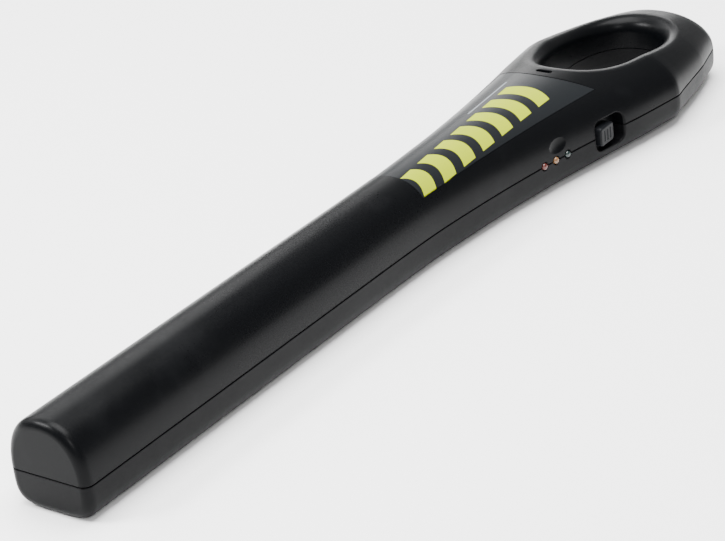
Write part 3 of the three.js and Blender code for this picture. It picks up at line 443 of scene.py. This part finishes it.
def shared_cuts():
    """What is cut through the joint line of both shells: lamps, slide switch, button and socket."""
    cuts = [round_hole(station, LAMP, *LAMP_HOLE, -1) for station in LAMPS]
    cuts.append(side_cutter(SWITCH, SWITCH_SIZE, SWITCH_CORNER, switch_floor, SWITCH_RIM))
    slot = rounded_rectangle(KNOB_TRAVEL + STEM_SLOT, STEM_SLOT, STEM_CORNER)
    centre = knob + KNOB_TRAVEL / 2
    cuts.append(loft([[(at(centre + u), -y, JOINT_Z + w) for u, w in slot]
                      for y in (switch_floor + 1, switch_floor - POCKET - 1)]))
    cuts.append(round_hole(BUTTON, BUTTON_RADIUS, *BUTTON_HOLE, 1))
    cuts.append(round_hole(JACK, JACK_RADIUS, *JACK_HOLE, 1))
    return cuts


def side_pocket(clearance, floor):
    """The wall behind the switch recess, grown by a clearance where the lip has to pass it."""
    size = [v + 2 * POCKET + 2 * clearance for v in SWITCH_SIZE]
    outline = rounded_rectangle(*size, SWITCH_CORNER + POCKET)
    return loft([[(at(SWITCH + u), -y, JOINT_Z + w) for u, w in outline] for y in (floor, HANDLE_HALF)])


def inside(tool):
    return within(tool, body_solid(WALL / 2, CORE_SIDES))


def shell_blank():
    """The hollow body with its loop and the wall behind the switch, before it is split."""
    shell = cut(body_solid(0), loop_cutter())
    cut(shell, cut(body_solid(WALL, CORE_SIDES), prism(grow(loop_outline, WALL), -1, BODY_HEIGHT + 1)))
    return unite(shell, inside(side_pocket(0, switch_floor - POCKET)))


def smooth(obj, angle=32):
    bpy.ops.object.select_all(action="DESELECT")
    obj.select_set(True)
    bpy.context.view_layer.objects.active = obj
    bpy.ops.object.shade_smooth_by_angle(angle=math.radians(angle))
    weigh = obj.modifiers.new("weigh", "WEIGHTED_NORMAL")
    weigh.keep_sharp = True
    bpy.ops.object.modifier_apply(modifier=weigh.name)
    obj.select_set(False)
    return obj


upper = shell_blank()
for station, y in SCREWS:
    unite(upper, inside(upright(station, y, 0, BODY_HEIGHT, BOSS)))
speaker_ring = cut(upright(SPEAKER, 0, SPEAKER_LOW - 0.5, BODY_HEIGHT, SPEAKER_RADIUS + FIT + SPEAKER_WALL),
                   upright(SPEAKER, 0, 0, BODY_HEIGHT + 2, SPEAKER_RADIUS + FIT))
unite(upper, inside(speaker_ring))
cut(upper, cut(prism(label_outline(FIT), JOINT_Z + 4, BODY_HEIGHT + 1), body_solid(LABEL_DEPTH)))
sound_slot = [(x + at(SOUND_SLOT), y) for x, y in rounded_rectangle(*SLOT_SIZE, SLOT_RADIUS, 12)]
rings = [[(x, y, BODY_HEIGHT - SLOT_DEPTH) for x, y in sound_slot]]
rings += [[(x, y, top_z(x + LENGTH / 2, y) - drop) for x, y in grow(sound_slot, out)]
          for out, drop in reversed(rolled(SLOT_RIM, 6))]
rings.append([(x, y, BODY_HEIGHT + 3) for x, y in grow(sound_slot, SLOT_RIM)])
cut(upper, loft(rings))
scoop_place = (at(LAMPS[1]), -half_width(LAMPS[1]) - SCOOP[1] + SCOOP_DEPTH, JOINT_Z + SCOOP_HEIGHT)
bpy.ops.mesh.primitive_uv_sphere_add(segments=96, ring_count=48, radius=1, scale=[v * MM for v in SCOOP],
                                     location=[v * MM for v in scoop_place])
bpy.ops.object.transform_apply(location=True, rotation=True, scale=True)
cut(upper, outward(bpy.context.object))
cut(upper, *shared_cuts())
for station, y in SCREWS:
    cut(upper, upright(station, y, 0, THREAD_TOP + 1, SCREW + FIT))
within(upper, joint_trim(True))
within(upper, block((-PAST_ENDS, -PAST_SIDES, JOINT_Z + JOINT_GAP / 2), (PAST_ENDS, PAST_SIDES, 60)))
upper.name = "upper_shell"
smooth(upper)

BATTERY_LENGTH, BATTERY_WIDTH = 48.5, 26.5
BAY_START, BAY_WALL, BAY_ROOM, SNAP_ROOM = FLARE + 24, 1.5, 0.6, 6.2
BAY_HEIGHT, DOOR_THICK, BLOCK_HEIGHT, TAB_HEIGHT = 12.6, 2, 3.6, 6
PIN, HINGE_Z, KNUCKLE, KNUCKLE_HALF, PIN_REACH = 0.9, 1.9, 1.85, 8, 1.6
BOARD_START, BOARD_THICK, POST = FLARE + 85, 1.6, 2
POSTS = [(5, -15), (5, 15), (32, -19), (32, 19)]        # along the board from its start, and across it
COIL_RIBS, RIB_HALF = (0.3, 0.55, 0.8), 1               # shares of the barrel's length
bay_end = BAY_START + BATTERY_LENGTH + 2 * BAY_ROOM + SNAP_ROOM
bay_half = BATTERY_WIDTH / 2 + BAY_ROOM
hinge = BAY_START + KNUCKLE + 0.35
block_end = hinge + KNUCKLE + 0.5
board_low = JOINT_Z - LAMP - 0.4 - BOARD_THICK


def door_outline(clearance):
    """The door in plan, with a notch at each end of its knuckle."""
    start, end = at(BAY_START + FIT - clearance), at(bay_end - FIT + clearance)
    notch = at(block_end + FIT - clearance)
    half, narrow = bay_half - FIT + clearance, KNUCKLE_HALF + clearance
    return [(start, -narrow), (notch, -narrow), (notch, -half), (end, -half), (end, half), (notch, half),
            (notch, narrow), (start, narrow)]


lower = shell_blank()
for station, y in SCREWS:
    unite(lower, inside(upright(station, y, 0, JOINT_Z, BOSS)))
unite(lower, inside(block((at(BAY_START - BAY_WALL), -bay_half - BAY_WALL, 0.5),
                          (at(bay_end + BAY_WALL), bay_half + BAY_WALL, BAY_HEIGHT))))
for along, y in POSTS:
    unite(lower, inside(upright(BOARD_START + along, y, 1, board_low - FIT, POST)))
for share in COIL_RIBS:
    rib = block((at(share * FLARE - RIB_HALF), -BARREL_HALF + WALL - 0.5, 1),
                (at(share * FLARE + RIB_HALF), BARREL_HALF - WALL + 0.5, JOINT_Z - 2.5 - FIT))
    unite(lower, inside(rib))
within(lower, joint_trim(False))
within(lower, block((-PAST_ENDS, -PAST_SIDES, -OVER), (PAST_ENDS, PAST_SIDES, JOINT_Z - JOINT_GAP / 2)))
# The lip's foot is one with the lower wall, and its tongue stands a fit clear of the upper wall.
for low, high, outer in ((JOINT_Z - LIP_FOOT, JOINT_Z - 0.4, WALL - FIT),
                         (JOINT_Z - 0.6, JOINT_Z + LIP_TONGUE, WALL + FIT)):
    lip = cut(body_solid(outer, CORE_SIDES), body_solid(WALL + LIP, CORE_SIDES))
    within(lip, block((-PAST_ENDS, -PAST_SIDES, low), (PAST_ENDS, PAST_SIDES, high)))
    if outer > WALL:
        cut(lip, side_pocket(FIT, switch_floor - POCKET - FIT))
    unite(lower, lip)
cut(lower, block((at(BAY_START), -bay_half, BLOCK_HEIGHT), (at(bay_end), bay_half, JOINT_Z + 3)),
    prism(door_outline(FIT), -1, BLOCK_HEIGHT + 0.1))
reach = KNUCKLE_HALF + PIN_REACH + FIT
cut(lower, crosswise(hinge, HINGE_Z, -reach, reach, PIN + FIT))
corner = block((at(hinge), -bay_half, -1), (at(block_end) + FIT, bay_half, HINGE_Z))
cut(corner, crosswise(hinge, HINGE_Z, -bay_half - 1, bay_half + 1, block_end - hinge, 64))
cut(lower, corner, *shared_cuts())
for station, y in SCREWS:
    cut(lower, upright(station, y, -1, JOINT_Z + 3, SCREW + FIT), upright(station, y, -1, SINK, HEAD + FIT))
lower.name = "lower_shell"
smooth(lower)


def maths(tree):
    """A way to write a Math node as calc("ADD", value, value), with numbers or sockets."""
    def calc(operation, *values):
        node = tree.nodes.new("ShaderNodeMath")
        node.operation = operation
        for socket, value in zip(node.inputs, values):
            if isinstance(value, (int, float)):
                socket.default_value = value
            else:
                tree.links.new(value, socket)
        return node.outputs[0]
    return calc


def noise(tree, scale, detail=2.0):
    texture = tree.nodes.new("ShaderNodeTexNoise")
    texture.inputs["Scale"].default_value = scale
    texture.inputs["Detail"].default_value = detail
    tree.links.new(tree.nodes.new("ShaderNodeTexCoord").outputs["Object"], texture.inputs["Vector"])
    return texture.outputs["Fac"]


def mixed(tree, share, first, second):
    """A colour that goes from the first to the second as a pattern's value rises."""
    mix = tree.nodes.new("ShaderNodeMix")
    mix.data_type = "RGBA"
    for socket, colour in ((mix.inputs["A"], first), (mix.inputs["B"], second)):
        if isinstance(colour, tuple):
            socket.default_value = (*colour, 1)
        else:
            tree.links.new(colour, socket)
    tree.links.new(share, mix.inputs["Factor"])
    return mix.outputs["Result"]


def lift(tree, shader, height, strength, distance):
    bump = tree.nodes.new("ShaderNodeBump")
    bump.inputs["Strength"].default_value = strength
    bump.inputs["Distance"].default_value = distance
    tree.links.new(height, bump.inputs["Height"])
    tree.links.new(bump.outputs["Normal"], shader.inputs["Normal"])


def moulded_plastic(name, colour, roughness, grain=0.35, scuffs=0.0):
    """Satin moulding: spark-eroded grain, slow changes of gloss, and rubbed marks where it is handled."""
    material, tree, shader = new_material(name, colour, roughness)
    shader.inputs["IOR"].default_value = 1.16       # low, so that the black stays deep at a glancing angle

    def spread(value, low, high, to_low, to_high):
        stretch = tree.nodes.new("ShaderNodeMapRange")
        limits = {"From Min": low, "From Max": high, "To Min": to_low, "To Max": to_high}
        for socket, number in limits.items():
            stretch.inputs[socket].default_value = number
        tree.links.new(value, stretch.inputs["Value"])
        return stretch.outputs["Result"]

    wear = spread(noise(tree, 38, 6), 0.58, 0.72, 0, scuffs)
    slow = spread(noise(tree, 14, 4), 0.3, 0.7, roughness - 0.05, roughness + 0.05)
    fine = spread(noise(tree, 900, 3), 0.35, 0.75, -0.02, 0.05)
    tree.links.new(maths(tree)("ADD", slow, fine), shader.inputs["Roughness"])
    rubbed = tuple(c * 1.5 + 0.003 for c in colour)
    tree.links.new(mixed(tree, wear, colour, rubbed), shader.inputs["Base Color"])
    lift(tree, shader, noise(tree, 2600, 1), grain, 0.00003)
    return material


def finish_piece(piece, body, node, look):
    """Gives a piece its finish, ties it to the body it moves with, and hides the node it stands for."""
    piece.data.materials.clear()
    piece.data.materials.append(look)
    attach(piece, body)
    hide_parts(node)


shell_black = moulded_plastic("shell_black", (0.0014, 0.0016, 0.002), 0.3, scuffs=0.5)
# The lower shell's base colour is a little lighter than the upper shell's: a painted reflection of the pale
# floor on the lower side.
lower_black = moulded_plastic("lower_black", (0.0022, 0.0023, 0.0027), 0.4, scuffs=0.4)
finish_piece(upper, "body", "top_shell", shell_black)
finish_piece(lower, "body", "bottom_shell", lower_black)

# ---------------------------------------------------------------------------------------------
# The label. It is a printed polycarbonate overlay, half a millimetre thick, bonded into a
# shallow recess of the upper shell. Its graphic is a row of lime bars bowed like waves, which
# widen towards the handle, with a thin grey rule above them.

LABEL_SUNK, LABEL_UNDERSIDE = 0.1, 0.6      # how deep the label's two faces lie below the body's skin
BARS_START, BAR_COUNT, BAR_PITCH, BAR_SHARE, BAR_BOW = 208, 7, 13.9, 0.6, 3.0
BARS_LOW, BARS_HIGH, BARS_RISE = -14.4, -3.4, 0.108
RULE, RULE_SPAN, EDGE_BLUR = (2.6, 3.5), (268, 303), 0.01
SLATE, GREY, LIME = (0.0065, 0.0075, 0.0085), (0.14, 0.155, 0.17), (0.29, 0.345, 0.0)

label = within(cut(body_solid(LABEL_SUNK), body_solid(LABEL_UNDERSIDE)),
               prism(label_outline(0), JOINT_Z + 4.2, BODY_HEIGHT + 1))
label.name = "label_panel"
smooth(label, 40)


def printed_label():
    """Millimetres along and across the label are worked out first, then the bars and the rule from them."""
    material, tree, shader = new_material("label_print", SLATE, 0.3)
    shader.inputs["IOR"].default_value = 1.2
    link, calc = tree.links.new, maths(tree)
    axes = tree.nodes.new("ShaderNodeSeparateXYZ")
    link(tree.nodes.new("ShaderNodeTexCoord").outputs["Object"], axes.inputs[0])
    along = calc("MULTIPLY_ADD", axes.outputs["X"], 1 / MM, LENGTH / 2)
    across = calc("MULTIPLY", axes.outputs["Y"], 1 / MM)
    top = calc("MULTIPLY_ADD", calc("SUBTRACT", along, BARS_START), BARS_RISE, BARS_HIGH)
    share = calc("DIVIDE", calc("SUBTRACT", across, BARS_LOW), calc("SUBTRACT", top, BARS_LOW))
    bowed = calc("POWER", calc("ABSOLUTE", calc("MULTIPLY_ADD", share, 2, -1)), 2)
    reached = calc("SUBTRACT", calc("MULTIPLY_ADD", bowed, BAR_BOW, along), BARS_START)
    travel = calc("DIVIDE", reached, BAR_PITCH)

    def between(value, low, high, blur=EDGE_BLUR):
        rise = calc("MULTIPLY", calc("SUBTRACT", value, low), 1 / blur)
        fall = calc("MULTIPLY", calc("SUBTRACT", high, value), 1 / blur)
        both = calc("MINIMUM", rise, fall)
        both.node.use_clamp = True
        return both

    bars = calc("MULTIPLY", between(calc("FRACT", travel), 0, BAR_SHARE), between(share, 0, 1))
    bars = calc("MULTIPLY", bars, between(travel, 0, BAR_COUNT))
    rule = calc("MULTIPLY", between(calc("SUBTRACT", across, top), *RULE, 0.08),
                between(along, *RULE_SPAN, 0.1))
    link(mixed(tree, bars, mixed(tree, rule, SLATE, GREY), LIME), shader.inputs["Base Color"])
    speckle = noise(tree, 1800)
    gloss = calc("ADD", calc("MULTIPLY_ADD", speckle, 0.14, 0.26), calc("MULTIPLY", bars, 0.12))
    link(gloss, shader.inputs["Roughness"])
    lift(tree, shader, calc("ADD", speckle, bars), 0.2, 0.00002)
    return material


finish_piece(label, "body", "label_plate", printed_label())

# ---------------------------------------------------------------------------------------------
# The battery door. It is a plate of the same black ABS, flush with the underside. It hangs on
# two short trunnions of its knuckle, and a springy tab at the other end snaps behind the wall
# of the bay. Three finger grooves help to open it.

TAB_THICK, TAB_HALF, GRIP_START, GRIP_PITCH, GRIP_HALF, GRIP_RADIUS = 1.3, 5, 6.5, 2.2, 6, 0.6

door = within(cut(body_solid(0), body_solid(DOOR_THICK)), prism(door_outline(0), -1, BLOCK_HEIGHT))
cut(door, block((at(BAY_START) - 1, -bay_half - 1, -1), (at(hinge), bay_half + 1, BLOCK_HEIGHT + 2)))
reach = KNUCKLE_HALF + PIN_REACH
unite(door, crosswise(hinge, HINGE_Z, -KNUCKLE_HALF, KNUCKLE_HALF, KNUCKLE, 64),
      crosswise(hinge, HINGE_Z, -reach, reach, PIN, 32),
      block((at(bay_end - FIT - TAB_THICK), -TAB_HALF, 1), (at(bay_end - FIT), TAB_HALF, TAB_HEIGHT)))
for k in range(3):
    cut(door, crosswise(bay_end - GRIP_START - GRIP_PITCH * k, 0, -GRIP_HALF, GRIP_HALF, GRIP_RADIUS, 32))
door.name = "door_panel"
smooth(door)
# The door uses the lower shell's lighter colour, which is a painted reflection of the pale floor.
finish_piece(door, "battery_door", "battery_door", lower_black)

# ---------------------------------------------------------------------------------------------
# The controls: a ribbed slide knob in the recess of the near side, and a round push button on
# the far side. Both are black moulded caps that snap onto the switches behind them, a little
# glossier than the shells where fingers rub them.

control_black = moulded_plastic("control_black", (0.005, 0.0055, 0.0065), 0.28, grain=0.15, scuffs=0.8)
KNOB_SIZE, KNOB_CORNER, KNOB_EDGE = (10.2, 8), 1.6, 0.8
GROOVE_PITCH, GROOVE_HALF, GROOVE_RADIUS, GROOVE_OUT = 2.2, 2.4, 0.62, 0.32
STEM_SIZE, STEM_ROUND = (2.6, 2), 0.4

knob_low, knob_high = (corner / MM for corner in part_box("mode_slider"))
outline = rounded_rectangle(*KNOB_SIZE, KNOB_CORNER)
knob_face, knob_base = knob_low.y, -(switch_floor + FIT)
levels = [(0, knob_base)] + [(along, knob_face + lost) for lost, along in rolled(KNOB_EDGE, 8)]
slider = loft([[(at(knob) + u, y, JOINT_Z + w) for u, w in grow(outline, -lost)] for lost, y in levels])
for k in (-1, 0, 1):
    x, y = at(knob + GROOVE_PITCH * k), knob_face - GROOVE_OUT
    cut(slider, rod((x, y, JOINT_Z - GROOVE_HALF), (x, y, JOINT_Z + GROOVE_HALF), GROOVE_RADIUS, 32))
stem = rounded_rectangle(*STEM_SIZE, STEM_ROUND, 4)
unite(slider, loft([[(at(knob) + u, y, JOINT_Z + w) for u, w in stem]
                    for y in (knob_base - 0.4, knob_high.y)]))
slider.name = "slide_knob"
smooth(slider)
finish_piece(slider, "mode_slider", "mode_slider", control_black)


def spun(profile, place, direction, steps=64):
    """A profile of (radius, height) points, spun about its axis and set at a place."""
    mesh = bpy.data.meshes.new("spun")
    edges = [(k, k + 1) for k in range(len(profile) - 1)]
    mesh.from_pydata([(radius * MM, 0, height * MM) for radius, height in profile], edges, [])
    obj = bpy.data.objects.new("spun", mesh)
    bpy.context.scene.collection.objects.link(obj)
    bpy.ops.object.select_all(action="DESELECT")
    bpy.context.view_layer.objects.active = obj
    obj.select_set(True)
    bpy.ops.object.mode_set(mode="EDIT")
    bpy.ops.mesh.select_all(action="SELECT")
    bpy.ops.mesh.spin(steps=steps, angle=2 * math.pi, center=(0, 0, 0), axis=(0, 0, 1))
    bpy.ops.mesh.select_all(action="SELECT")
    bpy.ops.mesh.remove_doubles(threshold=1e-6)
    bpy.ops.mesh.normals_make_consistent(inside=False)
    bpy.ops.object.mode_set(mode="OBJECT")
    turn = Vector((0, 0, 1)).rotation_difference(Vector(direction)).to_matrix().to_4x4()
    mesh.transform(Matrix.Translation(Vector(place) * MM) @ turn)
    obj.select_set(False)
    return obj


button_low, button_high = (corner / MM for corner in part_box("push_button"))
depth = button_high.y - button_low.y
BUTTON_STEM, FLANGE_LOW, BUTTON_ROUND, BUTTON_RISE = 1.5, 1.4, 0.9, 1.3
profile = [(0, 0), (BUTTON_STEM, 0), (BUTTON_STEM, FLANGE_LOW), (BUTTON_RADIUS, FLANGE_LOW),
           (BUTTON_RADIUS, depth - BUTTON_RISE)]
for k in range(1, 7):
    angle = math.pi / 12 * k
    profile.append((BUTTON_RADIUS - BUTTON_ROUND * (1 - math.cos(angle)),
                    depth - BUTTON_RISE + BUTTON_RISE * math.sin(angle)))
profile += [(3.6, depth - 0.05), (2.6, depth - 0.32), (1.3, depth - 0.5), (0, depth - 0.55)]
press = spun(profile, (at(BUTTON), button_low.y, JOINT_Z), (0, 1, 0))
press.name = "round_button"
smooth(press)
finish_piece(press, "push_button", "push_button", control_black)

# ---------------------------------------------------------------------------------------------
# Three lamps: domed light pipes of tinted clear acrylic, pushed from inside through holes on
# the joint line. Unlit, they look like small beads of red, amber and dark green.


def tinted(name, colour):
    material, tree, shader = new_material(name, colour, 0.1)
    shader.inputs["Coat Weight"].default_value = 0.2
    cloud = noise(tree, 700)
    dark, pale = tuple(c * 0.45 for c in colour), tuple(min(1, c * 1.5) for c in colour)
    tree.links.new(mixed(tree, cloud, dark, pale), shader.inputs["Base Color"])
    tree.links.new(maths(tree)("MULTIPLY_ADD", cloud, 0.1, 0.06), shader.inputs["Roughness"])
    return material


TINTS = {"red": (0.075, 0.012, 0.008), "amber": (0.15, 0.075, 0.03), "green": (0.004, 0.012, 0.011)}
COLLAR, COLLAR_HEIGHT = 0.3, 0.8
for station, (tint, colour) in zip(LAMPS, TINTS.items()):
    lamp_low, lamp_high = (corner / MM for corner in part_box("led_" + tint))
    stem = lamp_high.y - lamp_low.y - LAMP
    profile = [(0, 0), (LAMP + COLLAR, 0), (LAMP + COLLAR, COLLAR_HEIGHT), (LAMP, COLLAR_HEIGHT),
               (LAMP, stem)]
    for k in range(1, 11):
        angle = math.pi / 20 * k
        profile.append((LAMP * math.cos(angle), stem + LAMP * math.sin(angle)))
    pipe = spun(profile, (at(station), lamp_high.y, JOINT_Z), (0, -1, 0), 48)
    pipe.name = "light_pipe_" + tint
    smooth(pipe)
    finish_piece(pipe, "body", "led_" + tint, tinted("tint_" + tint, colour))

# ---------------------------------------------------------------------------------------------
# The earphone socket and the seven screws. The socket is a black bushed 3.5 mm jack on the far
# side. The screws are zinc-plated, thread-forming, with a cross recess, and sink into
# counterbores of the underside.

BORE, BUSH_LENGTH, SLEEVE_DEPTH, SLEEVE_STEP = 1.8, 12, 5.8, 0.6
JACK_HALF, JACK_BELOW, JACK_ABOVE = 3.6, 1.7, 3.4
socket_low, socket_high = (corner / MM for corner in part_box("jack_socket"))
bush = socket_high.y
outer = JACK_RADIUS
depths = [(BORE, BUSH_LENGTH), (BORE, 0.5), (BORE + 0.35, 0.05), (BORE + 0.6, 0), (outer - 0.4, 0),
          (outer, 0.4), (outer, SLEEVE_DEPTH), (outer - SLEEVE_STEP, SLEEVE_DEPTH),
          (outer - SLEEVE_STEP, BUSH_LENGTH), (BORE, BUSH_LENGTH)]
jack = spun([(radius, BUSH_LENGTH - depth) for radius, depth in depths],
            (at(JACK), bush - BUSH_LENGTH, JOINT_Z), (0, 1, 0))
casing = block((at(JACK) - JACK_HALF, socket_low.y, JOINT_Z - JACK_BELOW),
               (at(JACK) + JACK_HALF, bush - WALL - LIP - 1.4, JOINT_Z + JACK_ABOVE))
cut(casing, crosswise(JACK, JOINT_Z, bush - BUSH_LENGTH - 0.3, bush + 2, outer - 0.7))
unite(jack, casing)
jack.name = "earphone_socket"
smooth(jack)
finish_piece(jack, "body", "jack_socket", control_black)


def brushed_metal(name, colour, roughness):
    material, tree, shader = new_material(name, colour, roughness, 1.0)
    grain = noise(tree, 2400, 4)
    tree.links.new(maths(tree)("MULTIPLY_ADD", grain, 0.3, roughness - 0.12), shader.inputs["Roughness"])
    tree.links.new(mixed(tree, grain, tuple(c * 0.75 for c in colour), colour), shader.inputs["Base Color"])
    return material


zinc = brushed_metal("zinc_plate", (0.56, 0.57, 0.58), 0.34)
HEAD_HEIGHT, POINT_HEIGHT, POINT = 1.8, 0.8, 0.5
CROSS_LONG, CROSS_HALF, CROSS_DEPTH = 1.7, 0.3, 0.9
head_low = SINK - HEAD_HEIGHT - FIT
screw_length = THREAD_TOP - head_low
for number, (station, y) in enumerate(SCREWS, 1):
    profile = [(0, 0), (HEAD - 0.5, 0), (HEAD - 0.15, 0.15), (HEAD, 0.5), (HEAD - 0.2, HEAD_HEIGHT),
               (SCREW, HEAD_HEIGHT), (SCREW, screw_length - POINT_HEIGHT), (POINT, screw_length),
               (0, screw_length)]
    fixing = spun(profile, (at(station), y, head_low), (0, 0, 1), 32)
    for a, b in ((CROSS_LONG, CROSS_HALF), (CROSS_HALF, CROSS_LONG)):
        cut(fixing, block((at(station) - a, y - b, head_low - 1),
                          (at(station) + a, y + b, head_low + CROSS_DEPTH)))
    fixing.name = f"cross_screw_{number}"
    smooth(fixing)
    finish_piece(fixing, "body", f"screw_{number}", zinc)

# ---------------------------------------------------------------------------------------------
# Everything inside keeps its solid and gets its finish here: the coil on its nylon former, the
# foam that pads it, the circuit board with its chips, the speaker, the battery and its snap,
# the vibration motor and the leads.


def patterned(name, low, high, roughness, scale, texture="NOISE", stretch=(1, 1, 1), bump_height=0.00005,
              metallic=0.0):
    """Two tones of a colour, mixed by a noise, a cell or a band pattern that also lifts the surface."""
    material, tree, shader = new_material(name, low, roughness, metallic)
    nodes, link = tree.nodes, tree.links.new
    spread = nodes.new("ShaderNodeMapping")
    spread.inputs["Scale"].default_value = stretch
    link(nodes.new("ShaderNodeTexCoord").outputs["Object"], spread.inputs["Vector"])
    if texture == "BANDS":
        pattern = nodes.new("ShaderNodeTexWave")
        pattern.bands_direction = "DIAGONAL"
        value = pattern.outputs["Fac"]
    elif texture == "CELLS":
        pattern = nodes.new("ShaderNodeTexVoronoi")
        value = pattern.outputs["Distance"]
    else:
        pattern = nodes.new("ShaderNodeTexNoise")
        pattern.inputs["Detail"].default_value = 5
        value = pattern.outputs["Fac"]
    pattern.inputs["Scale"].default_value = scale
    link(spread.outputs["Vector"], pattern.inputs["Vector"])
    link(mixed(tree, value, low, high), shader.inputs["Base Color"])
    link(maths(tree)("MULTIPLY_ADD", value, 0.12, roughness - 0.06), shader.inputs["Roughness"])
    lift(tree, shader, value, 0.6, bump_height)
    return material


LOOKS = {
    "steel": zinc,
    "copper": patterned("copper_wire", (0.30, 0.11, 0.04), (0.72, 0.33, 0.14), 0.3, 500, "BANDS", (0, 1, 1),
                        0.0001, 0.9),
    "former_white": patterned("nylon", (0.62, 0.60, 0.52), (0.76, 0.74, 0.67), 0.5, 180),
    "foam_grey": patterned("foam", (0.05, 0.052, 0.056), (0.12, 0.125, 0.13), 0.92, 900, "CELLS",
                           bump_height=0.0005),
    "board_green": patterned("board_mask", (0.012, 0.09, 0.035), (0.03, 0.17, 0.07), 0.32, 420, "CELLS"),
    "chip_black": patterned("epoxy", (0.008, 0.008, 0.009), (0.02, 0.02, 0.022), 0.42, 1200),
    "control_black": control_black,
    "battery_case": patterned("battery_jacket", (0.015, 0.02, 0.028), (0.06, 0.075, 0.095), 0.28, 60,
                              "NOISE", (0.15, 1, 1)),
    "lead_red": patterned("red_insulation", (0.30, 0.02, 0.015), (0.42, 0.045, 0.03), 0.4, 500),
    "lead_black": patterned("black_insulation", (0.008, 0.008, 0.009), (0.02, 0.02, 0.022), 0.42, 500),
}
for row in frame["record"]["subparts"]:
    node = frame["nodes"][row["node"]]
    if row["material_slot"] in LOOKS:
        node.data.materials.clear()
        node.data.materials.append(LOOKS[row["material_slot"]])

low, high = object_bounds()
